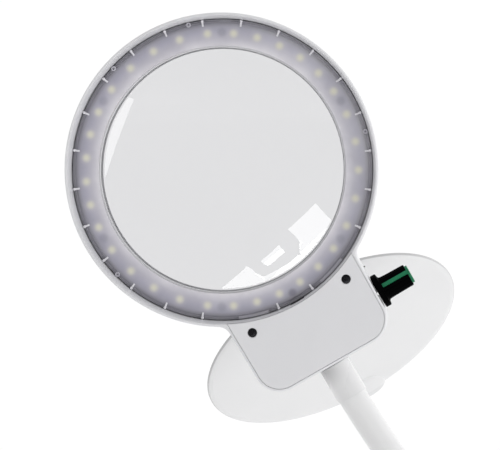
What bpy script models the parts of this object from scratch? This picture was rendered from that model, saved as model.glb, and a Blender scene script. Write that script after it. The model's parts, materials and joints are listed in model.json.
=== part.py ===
"""Magnifying lamp: a ring-light head with a 127 mm lens and a flip-up cover, on a bendable neck and a base.

Lengths are in millimetres in the code below, and MM turns them into Blender's metres.
The origin is the middle of the base's underside, with +Z up.  The head faces -Y and leans to -X.
The head's own frame has x to the right, y up (away from the handle) and z out of the lighted face.
"""

import math

import bmesh
import bpy
from mathutils import Matrix, Vector

MM = 0.001
GAP = 0.3  # clearance between neighbouring pieces

# Head
HEAD_LEAN = 30.0  # degrees between the handle's axis and the vertical
HEAD_DEPTH = 22.0
SHELL_R = 78.0
RIM_INNER_R = 76.3
CHANNEL_R = (65.2, 75.3)  # the trough that holds the light ring
WALL = 2.0
LENS_R = 63.5
LENS_MID_Z = -14.5
LENS_EDGE = 2.5
LENS_SAG = 5.8
LENS_SEAT_R = 60.0
LENS_SEAT_Z = -17.6
SPOT_R = 13.4  # the small, stronger lens moulded into the large one
SPOT_CURVE_R = 42.0
SPOT_TURN = (7.85, 0.2, 0.0)  # degrees about the large lens's front curve, towards the handle
SPOT_LIMIT_R = 57.0  # nothing of it lies further from the lens centre
COLLAR_TOP_Z = -9.4
HANDLE_END = 111.5  # from the lens centre to the handle's lower edge
HANDLE_CORNER_R = 13.0
HANDLE_HALF_TOP = 36.8
HANDLE_HALF_END = 36.3
HANDLE_FLARE_R = 7.0
HANDLE_MID_Z = -HEAD_DEPTH / 2
PLATE_THICKNESS = 1.9
PLATE_INSET = 1.5
PLATE_ARC_R = 76.7
COVER_SCREW = (26.8, -77.7)
BOARD_Z = (-14.8, -13.2)
BOARD_SCREW_R = 68.4
BOARD_SCREW_ANGLES = (30, 90, 150, 210, 270, 330)
LED_R = 68.0
LED_STEPS = (-5, 5, -15, 15, -25, 25, -36, 36, -48, 48, 60)  # degrees, in each third of the ring
RIB_ANGLES = [7.5 + 15 * i for i in range(24) if i not in (1, 22)]  # the clips take the other two places
DIFFUSER_R = (61.7, 73.8)
DIFFUSER_Z = (-8.4, -7.0)  # the ring is sunk below the rim

# Dimmer
DIMMER_Y = -91.6
KNOB_START = 37.0
KNOB_FLANGE_R = 8.7
KNOB_FLANGE = 3.0
KNOB_R = 5.8
KNOB_LENGTH = 17.4
POINTER_TURN = 71.0  # turns the pointer to the front of the head

# Flip-up lens cover
HINGE_Y = -67.1
HINGE_Z = -24.8
HINGE_R = 2.5
PIN_R = 1.2
COVER_R = 71.5
COVER_OFFSET = 3.0  # from the hinge's axis to the disc's edge
COVER_THICKNESS = 1.6
COVER_OPEN = 121.0
KNUCKLE_HALF = 13.1
LUG_OUTER = 19.0

# Neck
NECK_R = 7.3
NECK_BORE_R = 5.6
CORE_R = (2.6, 5.2)
SEGMENT = 58.0
SEGMENT_LEANS = (5.0, 12.0, 20.0, 28.0, 34.0)  # degrees from the vertical, from the base up
BASE_STUB = 14.0
HEAD_STUB = 8.0
FERRULE_R = 8.0
FERRULE_LENGTH = 18.5
LEAD_R = 1.5

# Base
BASE_R = 95.0
BASE_HEIGHT = 24.0
NECK_X = 62.0
COLLAR_HEIGHT = 19.0
POST_R = 83.0
POST_ANGLES = (90, 210, 330)
INLET_Z = 11.5


def material(name, colour, roughness, metallic=0.0, alpha=1.0):
    """One plain Principled material."""
    made = bpy.data.materials.new(name)
    made.use_nodes = True
    shader = made.node_tree.nodes["Principled BSDF"]
    shader.inputs["Base Color"].default_value = (*colour, 1.0)
    shader.inputs["Roughness"].default_value = roughness
    shader.inputs["Metallic"].default_value = metallic
    shader.inputs["Alpha"].default_value = alpha
    return made


def empty(name, location, rotation=(0.0, 0.0, 0.0), parent=None):
    """A frame that other objects are placed in.  Rotation is in degrees."""
    made = bpy.data.objects.new(name, None)
    bpy.context.scene.collection.objects.link(made)
    made.location = Vector(location) * MM
    made.rotation_euler = [math.radians(angle) for angle in rotation]
    made.parent = parent
    return made


def add(name, mesh_maker, parent, finish, location=(0.0, 0.0, 0.0), rotation=(0.0, 0.0, 0.0)):
    """Turns a bmesh in millimetres into a named object in metres.  A helper shape has no finish."""
    bmesh.ops.scale(mesh_maker, vec=(MM, MM, MM), verts=mesh_maker.verts)
    mesh = bpy.data.meshes.new(name)
    mesh_maker.to_mesh(mesh)
    mesh_maker.free()
    mesh.shade_smooth()
    mesh.set_sharp_from_angle(angle=math.radians(35))
    made = bpy.data.objects.new(name, mesh)
    bpy.context.scene.collection.objects.link(made)
    made.location = Vector(location) * MM
    made.rotation_euler = [math.radians(angle) for angle in rotation]
    made.parent = parent
    if finish is not None:
        mesh.materials.append(finish)
    return made


def boolean(target, tool, operation):
    """Cuts or joins a helper object, which is hidden from the build."""
    tool.hide_render = True
    tool.display_type = "WIRE"
    step = target.modifiers.new(tool.name, "BOOLEAN")
    step.operation = operation
    step.object = tool
    step.solver = "EXACT"


def cut(target, name, mesh_maker, location=(0.0, 0.0, 0.0), rotation=(0.0, 0.0, 0.0)):
    """Removes a shape, placed in the target's own parent frame."""
    boolean(target, add("cut_" + name, mesh_maker, target.parent, None, location, rotation), "DIFFERENCE")


def join(target, name, mesh_maker, location=(0.0, 0.0, 0.0), rotation=(0.0, 0.0, 0.0)):
    """Adds a shape to the target's one body."""
    boolean(target, add("join_" + name, mesh_maker, target.parent, None, location, rotation), "UNION")


def merge(shapes):
    """Several separate bmeshes as one."""
    made = bmesh.new()
    for shape in shapes:
        mesh = bpy.data.meshes.new("part")
        shape.to_mesh(mesh)
        shape.free()
        made.from_mesh(mesh)
        bpy.data.meshes.remove(mesh)
    return made


def moved(shape, offset, turn=0.0):
    """A bmesh turned about z by degrees and then moved."""
    about_z = Matrix.Rotation(math.radians(turn), 3, "Z")
    bmesh.ops.rotate(shape, cent=(0, 0, 0), matrix=about_z, verts=shape.verts)
    bmesh.ops.translate(shape, vec=offset, verts=shape.verts)
    return shape


def outward(shape):
    """Turns the faces of a closed bmesh outwards."""
    bmesh.ops.recalc_face_normals(shape, faces=shape.faces)
    if shape.calc_volume(signed=True) < 0:
        bmesh.ops.reverse_faces(shape, faces=shape.faces)
    return shape


def revolve(profile, steps=48):
    """A closed (r, z) profile turned about z; a point with r = 0 is one pole vertex."""
    made = bmesh.new()
    rings = []
    for r, z in profile:
        if r > 0:
            around = arc((0, 0), r, 0, 360, steps)[:-1]
            rings.append([made.verts.new((x, y, z)) for x, y in around])
        else:
            rings.append([made.verts.new((0, 0, z))] * steps)
    for ring, above in zip(rings, rings[1:] + rings[:1]):
        if ring[0] is ring[1] and above[0] is above[1]:
            continue
        for i in range(steps):
            j = (i + 1) % steps
            corners = [ring[i], ring[j], above[j], above[i]]
            made.faces.new(list(dict.fromkeys(corners)))
    return outward(made)


def cylinder(radius, low, high, steps=24):
    """A solid cylinder along z, turned a little so that its corners stay off the neighbours' corners."""
    return prism(arc((0, 0), radius, 5, 365, steps)[:-1], low, high)


def tube(inner, outer, low, high, steps=32):
    """A plain ring along z."""
    return revolve([(inner, low), (outer, low), (outer, high), (inner, high)], steps)


def prism(outline, low, high):
    """A closed (x, y) outline pulled from low to high along z."""
    made = bmesh.new()
    face = made.faces.new([made.verts.new((x, y, low)) for x, y in outline])
    pulled = bmesh.ops.extrude_face_region(made, geom=[face])
    top = [item for item in pulled["geom"] if isinstance(item, bmesh.types.BMVert)]
    bmesh.ops.translate(made, vec=(0, 0, high - low), verts=top)
    return outward(made)


def box(low, high):
    """A box between two corners."""
    outline = [(low[0], low[1]), (high[0], low[1]), (high[0], high[1]), (low[0], high[1])]
    return prism(outline, low[2], high[2])


def add_nut(name, corner_r, low, high, bore_r, parent, finish, location=(0.0, 0.0, 0.0)):
    """A hexagon nut with a plain bore."""
    nut = add(name, prism(arc((0, 0), corner_r, 0, 300, 5), low, high), parent, finish, location)
    cut(nut, name + "_bore", cylinder(bore_r, low - 1, high + 1, 20), location)


def arc(centre, radius, start, end, steps):
    """Points along an arc, in degrees."""
    angles = [math.radians(start + (end - start) * i / steps) for i in range(steps + 1)]
    return [(centre[0] + radius * math.cos(a), centre[1] + radius * math.sin(a)) for a in angles]


def polar(radius, degrees_from_handle, z=0.0):
    """A point at an angle measured from the handle, in the head's frame."""
    angle = math.radians(degrees_from_handle)
    return Vector((radius * math.sin(angle), -radius * math.cos(angle), z))


def mirror_outline(right_side):
    """Points down the right side, then up the left side."""
    return right_side + [(-x, y) for x, y in reversed(right_side)]


# --- Head -----------------------------------------------------------------------------------------------


def handle_side(inset):
    """The handle's right side and lower corner, moved inwards by inset, from top to bottom."""
    corner_y = -HANDLE_END + HANDLE_CORNER_R
    corner = (HANDLE_HALF_END - HANDLE_CORNER_R, corner_y)
    return [(HANDLE_HALF_TOP - inset, -72.0)] + arc(corner, HANDLE_CORNER_R - inset, 0, -90, 8)


def shell_outline():
    """The ring with the handle flared into it."""
    flare_x = HANDLE_HALF_TOP + HANDLE_FLARE_R
    flare_y = -math.sqrt((SHELL_R + HANDLE_FLARE_R) ** 2 - flare_x**2)
    touch = math.degrees(math.atan2(flare_y, flare_x))
    flare = arc((flare_x, flare_y), HANDLE_FLARE_R, 180 + touch, 180, 4)
    right = arc((0, 0), SHELL_R, 90, touch, 27)[1:] + flare[1:] + handle_side(0)[1:]
    return [(0, SHELL_R)] + mirror_outline(right)


def handle_pocket(inset, ring_r):
    """The handle's outline moved inwards, closed at the top by an arc round the lens centre."""
    half = HANDLE_HALF_TOP - inset
    start = math.degrees(math.asin(half / ring_r))
    side = handle_side(inset)
    if -ring_r * math.cos(math.radians(start)) > side[0][1]:
        right = side
    else:
        right = side[1:]
    top = arc((0, 0), ring_r, -90 - start, -90 + start, 16)
    return top + right + [(-x, y) for x, y in reversed(right)]


def build_head_shell(head, finish):
    """The one-piece housing: ring trough, lens seat, handle box and its screw posts."""
    shell = add("head_shell", prism(shell_outline(), -HEAD_DEPTH, 0), head, finish)
    edge = shell.modifiers.new("rounded_edges", "BEVEL")
    edge.width = 1.0 * MM
    edge.segments = 1
    edge.limit_method = "ANGLE"
    edge.angle_limit = math.radians(60)
    floor = -HEAD_DEPTH + WALL
    trough = [
        (0, 1),
        (RIM_INNER_R, 1),
        (RIM_INNER_R, -0.4),
        (CHANNEL_R[1], -9.0),
        (CHANNEL_R[1], floor),
        (CHANNEL_R[0], floor),
        (CHANNEL_R[0], COLLAR_TOP_Z),
        (LENS_R + 0.5, COLLAR_TOP_Z),
        (LENS_R + 0.5, LENS_SEAT_Z),
        (LENS_SEAT_R, LENS_SEAT_Z),
        (LENS_SEAT_R, -HEAD_DEPTH - 1),
        (0, -HEAD_DEPTH - 1),
    ]
    cut(shell, "trough", revolve(trough, 64))
    cut(shell, "handle_room", prism(handle_pocket(WALL + 0.1, SHELL_R), floor, 1))
    cut(shell, "plate_seat", prism(handle_pocket(PLATE_INSET - GAP, PLATE_ARC_R - GAP), -2.2, 1))
    screw_spots = [(side * COVER_SCREW[0], COVER_SCREW[1], 0) for side in (-1, 1)]
    posts = [moved(cylinder(3.0, floor - 1, -2.2, 12), spot) for spot in screw_spots]
    posts += [moved(cylinder(3.0, floor - 1, -13, 12), (side * 10, HINGE_Y - 10.6, 0)) for side in (-1, 1)]
    posts += [
        moved(cylinder(2.2, floor - 1, BOARD_Z[0] - GAP, 8), polar(BOARD_SCREW_R, angle))
        for angle in BOARD_SCREW_ANGLES
    ]
    for number, post in enumerate(posts):
        join(shell, f"post_{number}", post)
    pilots = [moved(cylinder(1.5, floor + 1, 2, 8), spot) for spot in screw_spots]
    pilots += [moved(cylinder(1.3, -25, -15, 8), (side * 10, HINGE_Y - 10.6, 0)) for side in (-1, 1)]
    pilots += [moved(cylinder(1.3, -19.3, 0, 8), polar(BOARD_SCREW_R, angle)) for angle in BOARD_SCREW_ANGLES]
    cut(shell, "pilots", merge(pilots))
    cut(shell, "wire_slot", box((-4, -79, -18.5), (4, -73, -4.5)))
    cut(shell, "dimmer_hole", cylinder(4.5, 30, 40, 24), (0, DIMMER_Y, HANDLE_MID_Z), (0, 90, 0))
    cut(shell, "neck_hole", cylinder(5.3, 105, 115, 24), (0, 0, HANDLE_MID_Z), (90, 0, 0))
    return shell


def build_handle_cover(head, white, black):
    """The flush plate over the handle's electronics and its two recessed screws."""
    outline = handle_pocket(PLATE_INSET, PLATE_ARC_R)
    plate = add("handle_cover", prism(outline, -PLATE_THICKNESS, 0), head, white)
    for side, name in ((-1, "left"), (1, "right")):
        place = (side * COVER_SCREW[0], COVER_SCREW[1], 0)
        cut(plate, f"screw_seat_{name}", moved(cylinder(2.5, -1.2, 1), place))
        cut(plate, f"screw_way_{name}", moved(cylinder(1.6, -3, 0, 16), place))
        profile = [(0, -11), (1.2, -11), (1.2, -0.9), (2.2, -0.9), (2.2, -0.25), (1.8, 0.0), (0, 0.0)]
        screw = add(f"handle_cover_screw_{name}", revolve(profile, 12), head, black, place)
        screw.location.z -= 0.1 * MM
        cross_recess(screw, f"recess_{name}", place, 1.3)


def cross_recess(screw, name, place, reach):
    """A cross-shaped driver recess in a screw's head."""
    for turn in (0, 90):
        blade = box((-reach, -0.3, -0.5), (reach, 0.3, 1))
        cut(screw, f"{name}_{turn}", blade, place, (0, 0, turn))


def lens_curve_radius():
    """The radius of the large lens's two faces."""
    return (LENS_R**2 + LENS_SAG**2) / (2 * LENS_SAG)


def lens_profile():
    """Half of the double-curved lens, from the front pole to the back pole."""
    curve_r = lens_curve_radius()
    steps = 5
    front = []
    for i in range(steps + 1):
        r = LENS_R * i / steps
        rise = LENS_SAG - (curve_r - math.sqrt(curve_r**2 - r**2))
        front.append((r, LENS_EDGE / 2 + rise))
    return front + [(r, -z) for r, z in reversed(front)]


def add_spot_lens(lens):
    """Joins the small, stronger lens to the large one's front face.  It stands on that face's own curve."""
    curve_r = lens_curve_radius()
    place = (0, 0, LENS_MID_Z + LENS_EDGE / 2 + LENS_SAG - curve_r)
    rise = math.sqrt(curve_r**2 - SPOT_R**2) - math.sqrt(SPOT_CURVE_R**2 - SPOT_R**2)
    reach = math.degrees(math.asin(SPOT_R / SPOT_CURVE_R))
    dome = [(r, rise + z) for r, z in arc((0, 0), SPOT_CURVE_R, 90, 87 - reach, 6)]
    profile = [(0, dome[0][1])] + dome[1:] + [(0, dome[-1][1])]
    join(lens, "spot_lens", revolve(profile, 28), place, SPOT_TURN)
    limit = add("limit_spot_lens", cylinder(SPOT_LIMIT_R, -20, 0, 48), lens.parent, None)
    boolean(bpy.data.objects["join_spot_lens"], limit, "INTERSECT")


def build_lens(head, glass, rubber, white):
    """The lens between its rear seat ring and its front retaining ring."""
    lens = add("lens", revolve(lens_profile(), 40), head, glass, (0, 0, LENS_MID_Z))
    add_spot_lens(lens)
    back = LENS_MID_Z - LENS_EDGE / 2
    front = LENS_MID_Z + LENS_EDGE / 2
    add("lens_seat_gasket", tube(60.8, 63.5, LENS_SEAT_Z + GAP, back - 0.6, 40), head, rubber)
    add("lens_retaining_ring", tube(61.6, 63.7, front + 0.6, COLLAR_TOP_Z - 1.2, 40), head, white)


def build_light_ring(head, board_finish, steel, frosted):
    """The ring board with its light-emitting diodes, its screws and the frosted diffuser over it."""
    board = add("led_ring_board", tube(65.9, 73.2, BOARD_Z[0], BOARD_Z[1], 42), head, board_finish)
    holes = [moved(cylinder(1.6, -17, -11, 8), polar(BOARD_SCREW_R, angle)) for angle in BOARD_SCREW_ANGLES]
    cut(board, "board_holes", merge(holes))
    chips = []
    for sector in (0, 120, 240):
        for step in LED_STEPS:
            angle = sector + step
            chip = box((-1.4, -1.75, BOARD_Z[1] - 0.5), (1.4, 1.75, BOARD_Z[1] + 0.9))
            chips.append(moved(chip, polar(LED_R, angle), angle))
    join(board, "chips", merge(chips))
    profile = [(0, -5.6), (1.0, -5.6), (1.0, GAP), (1.9, GAP), (1.9, 0.9), (1.3, 1.3), (0, 1.3)]
    for number, angle in enumerate(BOARD_SCREW_ANGLES, 1):
        place = polar(BOARD_SCREW_R, angle, BOARD_Z[1])
        add(f"led_board_screw_{number}", revolve(profile, 8), head, steel, place)
    build_diffuser(head, frosted)


def build_diffuser(head, frosted):
    """The flat frosted ring with its skirt, locating ribs, two snap clips and four locating pins."""
    inner, outer = DIFFUSER_R
    low, high = DIFFUSER_Z
    profile = [
        (inner, high),
        (inner, COLLAR_TOP_Z + 0.1),
        (inner + 1.1, COLLAR_TOP_Z + 0.1),
        (inner + 1.1, low),
        (outer - 1.2, low),
        (outer - 1.2, -12.0),
        (outer, -12.0),
        (outer, high - 0.8),
        (outer - 1.0, high),
    ]
    ring = add("diffuser_ring", revolve(profile, 48), head, frosted)
    extras = []
    for angle in RIB_ANGLES:
        rib = box((-0.5, -0.9, -10.0), (0.5, 2.1, high + 0.5))
        extras.append(moved(rib, polar(outer + 0.2, angle), angle))
    for angle in (75, -75, 163, -163):
        extras.append(moved(cylinder(1.1, -10.0, high + 0.3, 8), polar(outer + 0.1, angle)))
    join(ring, "ribs_and_pins", merge(extras))
    for side in (-1, 1):
        span = [(side * angle) - 90 for angle in (11.5, 23.5)]
        wide = arc((0, 0), outer - 0.5, span[0], span[1], 5) + arc((0, 0), 75.0, span[1], span[0], 5)
        join(ring, f"clip_{side + 2}", prism(wide, -10.0, high - 0.3))


def build_driver(head, green, black, steel, yellow):
    """The electronics in the handle: the driver board, its coil, its capacitor and the light ring's lead."""
    board = add("driver_board", box((-25, -104.5, -18.4), (19, -84, -16.8)), head, green)
    join(board, "driver_chip", box((-4, -92, -17.5), (4, -86.5, -15.2)))
    join(board, "lead_socket", box((-3.5, -102.0, -17.5), (3.5, -97.0, -9.0)))
    add("driver_coil", tube(1.6, 4.6, -16.5, -10.8, 20), head, black, (-12, -93, 0))
    add("driver_capacitor", cylinder(3.1, -16.5, -7.0, 16), head, steel, (12.5, -97, 0))
    route = [(-83.3, -15.0), (-79.5, -16.2), (-75.0, -17.1), (-71.4, -17.2), (-69.8, -16.6), (-69.5, -15.4)]
    add_lead("led_lead", [(0, y, z) for y, z in route], 1.0, 3, head, yellow)


def smooth_route(points, parts):
    """Catmull-Rom points through a route, with this many parts to each stretch."""
    ends = [2 * points[0] - points[1]] + points + [2 * points[-1] - points[-2]]
    made = []
    for a, b, c, d in zip(ends, ends[1:], ends[2:], ends[3:]):
        for i in range(parts):
            t = i / parts
            bend = (2 * a - 5 * b + 4 * c - d) * t**2 + (3 * b - a - 3 * c + d) * t**3
            made.append(0.5 * (2 * b + (c - a) * t + bend))
    return made + [points[-1]]


def add_lead(name, route, radius, parts, parent, finish):
    """A round lead along a smooth route."""
    points = smooth_route([Vector(point) for point in route], parts)
    curve = bpy.data.curves.new(name, "CURVE")
    curve.dimensions = "3D"
    curve.bevel_depth = radius * MM
    curve.bevel_resolution = 2
    curve.use_fill_caps = True
    line = curve.splines.new("POLY")
    line.points.add(len(points) - 1)
    for slot, point in zip(line.points, points):
        slot.co = (*(point * MM), 1.0)
    curve.materials.append(finish)
    made = bpy.data.objects.new(name, curve)
    bpy.context.scene.collection.objects.link(made)
    made.parent = parent
    return made


def build_dimmer(head, black, steel, green):
    """The potentiometer in the handle's side wall, and the knob that turns on its axis."""
    axis = empty("dimmer_axis", (0, DIMMER_Y, HANDLE_MID_Z), (0, 90, 0), head)
    body = [(0, 25.2), (8.2, 25.2), (8.2, 33.0), (4.2, 33.0), (4.2, 39.0), (3.2, 39.0)]
    body += [(3.2, 28.4), (0, 28.4)]
    add("dimmer_potentiometer", revolve(body, 20), axis, steel)
    add_nut("dimmer_nut", 6.2, 36.9, 38.7, 4.5, axis, steel)
    add("dimmer_shaft", cylinder(2.9, 28.8, 50.0, 20), axis, steel)
    end = KNOB_START + KNOB_LENGTH
    flange = KNOB_START + KNOB_FLANGE
    profile = [
        (0, end),
        (KNOB_R - 0.5, end),
        (KNOB_R - 0.1, end - 0.6),
        (KNOB_R + 0.2, flange + 0.6),
        (KNOB_FLANGE_R - 0.6, flange),
        (KNOB_FLANGE_R, flange - 0.5),
        (KNOB_FLANGE_R, KNOB_START),
        (6.9, KNOB_START),
        (6.9, 39.3),
        (3.2, 39.3),
        (3.2, 50.4),
        (0, 50.4),
    ]
    knob = add("dimmer_knob", revolve(profile, 24), axis, black)
    cut(knob, "cap_seat", cylinder(4.1, end - 1.4, end + 1, 24))
    cut(knob, "pointer_slot", box((-1.0, 4.2, flange + 0.2), (1.0, 9.0, end + 1)))
    cut(knob, "pointer_way", box((-1.0, 0.0, end - 1.4), (1.0, 6.0, end + 1)))
    pointer = add("dimmer_pointer", cylinder(3.8, end - 1.1, end + 0.9, 24), axis, green)
    join(pointer, "pointer_bridge", box((-0.7, 2.0, end - 1.1), (0.7, 5.9, end + 0.4)))
    join(pointer, "pointer_bar", box((-0.7, 4.5, flange + 0.5), (0.7, 6.0, end - 0.2)))
    for name in ("dimmer_knob", "dimmer_pointer"):
        turn_about_axis(name)


def turn_about_axis(name):
    """Turns a knob piece, and the tools that shape it, about the dimmer's axis."""
    tools = {step.name for step in bpy.data.objects[name].modifiers}
    for made in bpy.data.objects:
        if made.name == name or made.name in tools:
            made.rotation_euler = (0, 0, math.radians(POINTER_TURN))


def build_ferrule(head, white, steel):
    """The neck's metal socket under the handle, held by a nut inside."""
    socket = empty("ferrule_axis", (0, 0, HANDLE_MID_Z), (90, 0, 0), head)
    start = HANDLE_END + GAP
    end = start + FERRULE_LENGTH - GAP
    profile = [
        (3.0, 105.0),
        (5.0, 105.0),
        (5.0, start),
        (FERRULE_R - 0.6, start),
        (FERRULE_R, start + 0.6),
        (FERRULE_R, end - 0.8),
        (FERRULE_R - 0.5, end),
        (NECK_R + GAP, end),
        (NECK_R + GAP, 118.0),
        (3.0, 118.0),
    ]
    add("neck_ferrule", revolve(profile, 24), socket, white)
    add_nut("neck_ferrule_nut", 8.3, 106.2, 109.1, 5.3, socket, steel)
    return socket


# --- Flip-up lens cover ---------------------------------------------------------------------------------


def build_cover_hinge(head, white, steel):
    """The hinge bracket on the back of the handle, its pin and its two screws."""
    plate_y = (HINGE_Y - 15.0, HINGE_Y - 2.9)
    plate = box((-LUG_OUTER - 0.5, plate_y[0], -24.2), (LUG_OUTER + 0.5, plate_y[1], -HEAD_DEPTH - GAP))
    bracket = add("cover_hinge_bracket", plate, head, white)
    for side, name in ((-1, "left"), (1, "right")):
        low, high = sorted((side * LUG_OUTER, side * (KNUCKLE_HALF + GAP)))
        foot = box((low + 0.1, plate_y[1] - 1.5, -24.5), (high - 0.1, HINGE_Y + 0.2, -HEAD_DEPTH - 0.35))
        join(bracket, f"foot_{name}", foot)
        lug = cylinder(HINGE_R, low, high, 14)
        join(bracket, f"lug_{name}", lug, (0, HINGE_Y, HINGE_Z), (0, 90, 0))
    cut(bracket, "pin_bore", cylinder(PIN_R + GAP, -25, 25, 12), (0, HINGE_Y, HINGE_Z), (0, 90, 0))
    screws = [moved(cylinder(1.3, -26, -20, 12), (side * 10, HINGE_Y - 10.6, 0)) for side in (-1, 1)]
    cut(bracket, "hinge_screw_ways", merge(screws))
    pin = [(0, -20.5), (0.8, -20.5), (PIN_R, -20.1), (PIN_R, 20.1), (0.8, 20.5), (0, 20.5)]
    add("cover_hinge_pin", revolve(pin, 10), head, steel, (0, HINGE_Y, HINGE_Z), (0, 90, 0))
    profile = [(0, -16.0), (1.0, -16.0), (1.0, -24.5), (2.0, -24.5), (2.0, -25.1), (1.4, -25.6), (0, -25.6)]
    for side, name in ((-1, "left"), (1, "right")):
        add(f"hinge_screw_{name}", revolve(profile, 8), head, steel, (side * 10, HINGE_Y - 10.6, 0))


def build_lens_cover(head, white):
    """The thin disc that folds over the back of the lens, with its finger tab and knuckle."""
    hinge = empty("cover_hinge_axis", (0, HINGE_Y, HINGE_Z), (-COVER_OPEN, 0, 0), head)
    half = COVER_THICKNESS / 2
    middle = COVER_R + COVER_OFFSET
    profile = [
        (0, half),
        (COVER_R - 0.3, half),
        (COVER_R, half - 0.3),
        (COVER_R, 0.1),
        (COVER_R - 2.3, -half),
        (0, -half),
    ]
    cover = add("lens_cover", revolve(profile, 60), hinge, white, (0, middle, 0))
    tab = [
        (0, half - 0.1),
        (12.2, half - 0.1),
        (12.5, half - 0.4),
        (12.5, -half),
        (10.5, -half - 0.9),
        (0, -half - 1.3),
    ]
    join(cover, "finger_tab", revolve(tab, 24), (0, middle + 65.3, 0))
    web = box((-KNUCKLE_HALF + 0.2, 0.3, -0.7), (KNUCKLE_HALF - 0.2, COVER_OFFSET + 4, 0.6))
    join(cover, "knuckle_web", web)
    join(cover, "knuckle", cylinder(HINGE_R, -KNUCKLE_HALF, KNUCKLE_HALF, 14), (0, 0, 0), (0, 90, 0))
    cut(cover, "knuckle_bore", cylinder(PIN_R + GAP, -30, 30, 12), (0, 0, 0), (0, 90, 0))
    holes = [moved(cylinder(1.1, -3, 3, 12), (side * 35.6, middle - 54.0, 0)) for side in (-1, 1)]
    cut(cover, "cover_holes", merge(holes))


# --- Neck -----------------------------------------------------------------------------------------------


def neck_joints():
    """The middle of each bend, from the base up, and the lean of each straight between them."""
    point = Vector((NECK_X, 0, BASE_HEIGHT + GAP + COLLAR_HEIGHT + BASE_STUB))
    points = [point]
    for lean in SEGMENT_LEANS:
        angle = math.radians(lean)
        point = point + SEGMENT * Vector((-math.sin(angle), 0, math.cos(angle)))
        points.append(point)
    return points


def sleeve_profile(low, high):
    """A length of sleeve: cupped over a joint below and rounded at one above, or flat at low or high."""

    def curve(radius, bore, centre, steps=3):
        start = math.acos(NECK_R / radius)
        end = math.acos(bore / radius)
        angles = [start + (end - start) * i / steps for i in range(steps + 1)]
        return [(radius * math.cos(a), centre + radius * math.sin(a)) for a in angles]

    if low:
        bottom = [(NECK_BORE_R, low), (NECK_R, low)]
    else:
        bottom = list(reversed(curve(NECK_R + GAP, NECK_BORE_R, 0)))
    if high:
        top = [(NECK_R, high), (NECK_BORE_R, high)]
    else:
        top = curve(NECK_R, NECK_BORE_R, 0 if low else SEGMENT)
    return bottom + top


def build_neck(base, head_socket, sleeve, steel):
    """The stub on the base, five lengths of neck and the stub on the head, each with its steel core."""
    points = neck_joints()
    add("neck_sleeve_base", revolve(sleeve_profile(-BASE_STUB - 14.0, None), 16), base, sleeve, points[0])
    add("neck_core_base", tube(*CORE_R, -BASE_STUB - 13.0, 2.0, 12), base, steel, points[0])
    for number, lean in enumerate(SEGMENT_LEANS, 1):
        lower = empty(f"neck_joint_{number}", points[number - 1], (0, -lean, 0))
        add(f"neck_sleeve_{number}", revolve(sleeve_profile(None, None), 16), lower, sleeve)
        add(f"neck_core_{number}", tube(*CORE_R, 7.2, SEGMENT + 2.0, 12), lower, steel)
    top = HANDLE_END + FERRULE_LENGTH + HEAD_STUB
    reach = top - 118.0 - GAP
    end_sleeve = revolve(sleeve_profile(None, reach), 16)
    end_core = tube(*CORE_R, 7.2, reach - 0.5, 12)
    add("neck_sleeve_head", end_sleeve, head_socket, sleeve, (0, 0, top), (180, 0, 0))
    add("neck_core_head", end_core, head_socket, steel, (0, 0, top), (180, 0, 0))


def build_power_lead(base, head, finish):
    """The lead that runs from the power inlet, up the middle of the neck, to the driver board."""
    points = neck_joints()
    in_base = ((80.3, INLET_Z), (74.0, 11.6), (68.2, 12.2), (64.0, 14.6), (62.2, 19.0))
    route = [Vector((x, 0, z)) for x, z in in_base]
    route += [Vector((NECK_X, 0, 27)), Vector((NECK_X, 0, 42)), points[0]]
    for lower, upper in zip(points, points[1:]):
        route += [(lower + upper) / 2, upper]
    to_head = head.matrix_world
    route += [to_head @ (Vector((0, -y, HANDLE_MID_Z)) * MM) / MM for y in (128.0, 116.0, 108.5, 102.3)]
    add_lead("power_lead", route, LEAD_R, 3, base, finish)


# --- Base -----------------------------------------------------------------------------------------------


def ring_point(radius, degrees):
    """A point round the base's axis."""
    return Vector((radius * math.cos(math.radians(degrees)), radius * math.sin(math.radians(degrees)), 0))


def at_posts(radius, low, high, steps):
    """A cylinder at each of the base's three screw posts."""
    return merge([moved(cylinder(radius, low, high, steps), ring_point(POST_R, a)) for a in POST_ANGLES])


def build_base(base, white, iron, steel, foam):
    """The round foot: moulded cover, iron weight, steel plate, foam pad and three screws."""
    inner = BASE_R - WALL
    roof = BASE_HEIGHT - WALL - 0.2
    outside = [(0, BASE_HEIGHT)] + arc((85.0, 14.0), 10.0, 90, 0, 5) + [(BASE_R, 1.2)]
    inside = [(inner, 1.2)] + arc((85.0, roof - 8.0), 8.0, 0, 90, 3) + [(0, roof)]
    cover = add("base_cover", revolve(outside + inside, 36), base, white)
    join(cover, "base_posts", at_posts(4.0, 3.6, roof + 0.5, 12))
    cut(cover, "base_pilots", at_posts(1.6, 2, 14, 8))
    cut(cover, "neck_way", cylinder(8.1, 18, 30, 24), (NECK_X, 0, 0))
    cut(cover, "inlet_way", cylinder(4.7, 88, 100, 20), (0, 0, INLET_Z), (0, 90, 0))
    weight = add("base_weight", cylinder(76.0, 3.6, 16.6, 36), base, iron)
    cut(weight, "nut_room", cylinder(17.0, 0, 30, 24), (NECK_X, 0, 0))
    plate = add("base_plate", cylinder(92.4, 2.1, 3.3, 36), base, steel)
    cut(plate, "plate_holes", at_posts(1.7, 0, 5, 8))
    pad = add("base_pad", cylinder(90.5, 0, 1.8, 36), base, foam)
    cut(pad, "pad_holes", at_posts(4.0, -1, 3, 12))
    screw = [(0, 0.5), (2.2, 0.5), (3.2, 0.9), (3.2, 1.8), (1.3, 1.8), (1.3, 12), (0, 12)]
    for number, angle in enumerate(POST_ANGLES, 1):
        add(f"base_screw_{number}", revolve(screw, 10), base, steel, ring_point(POST_R, angle))


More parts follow.
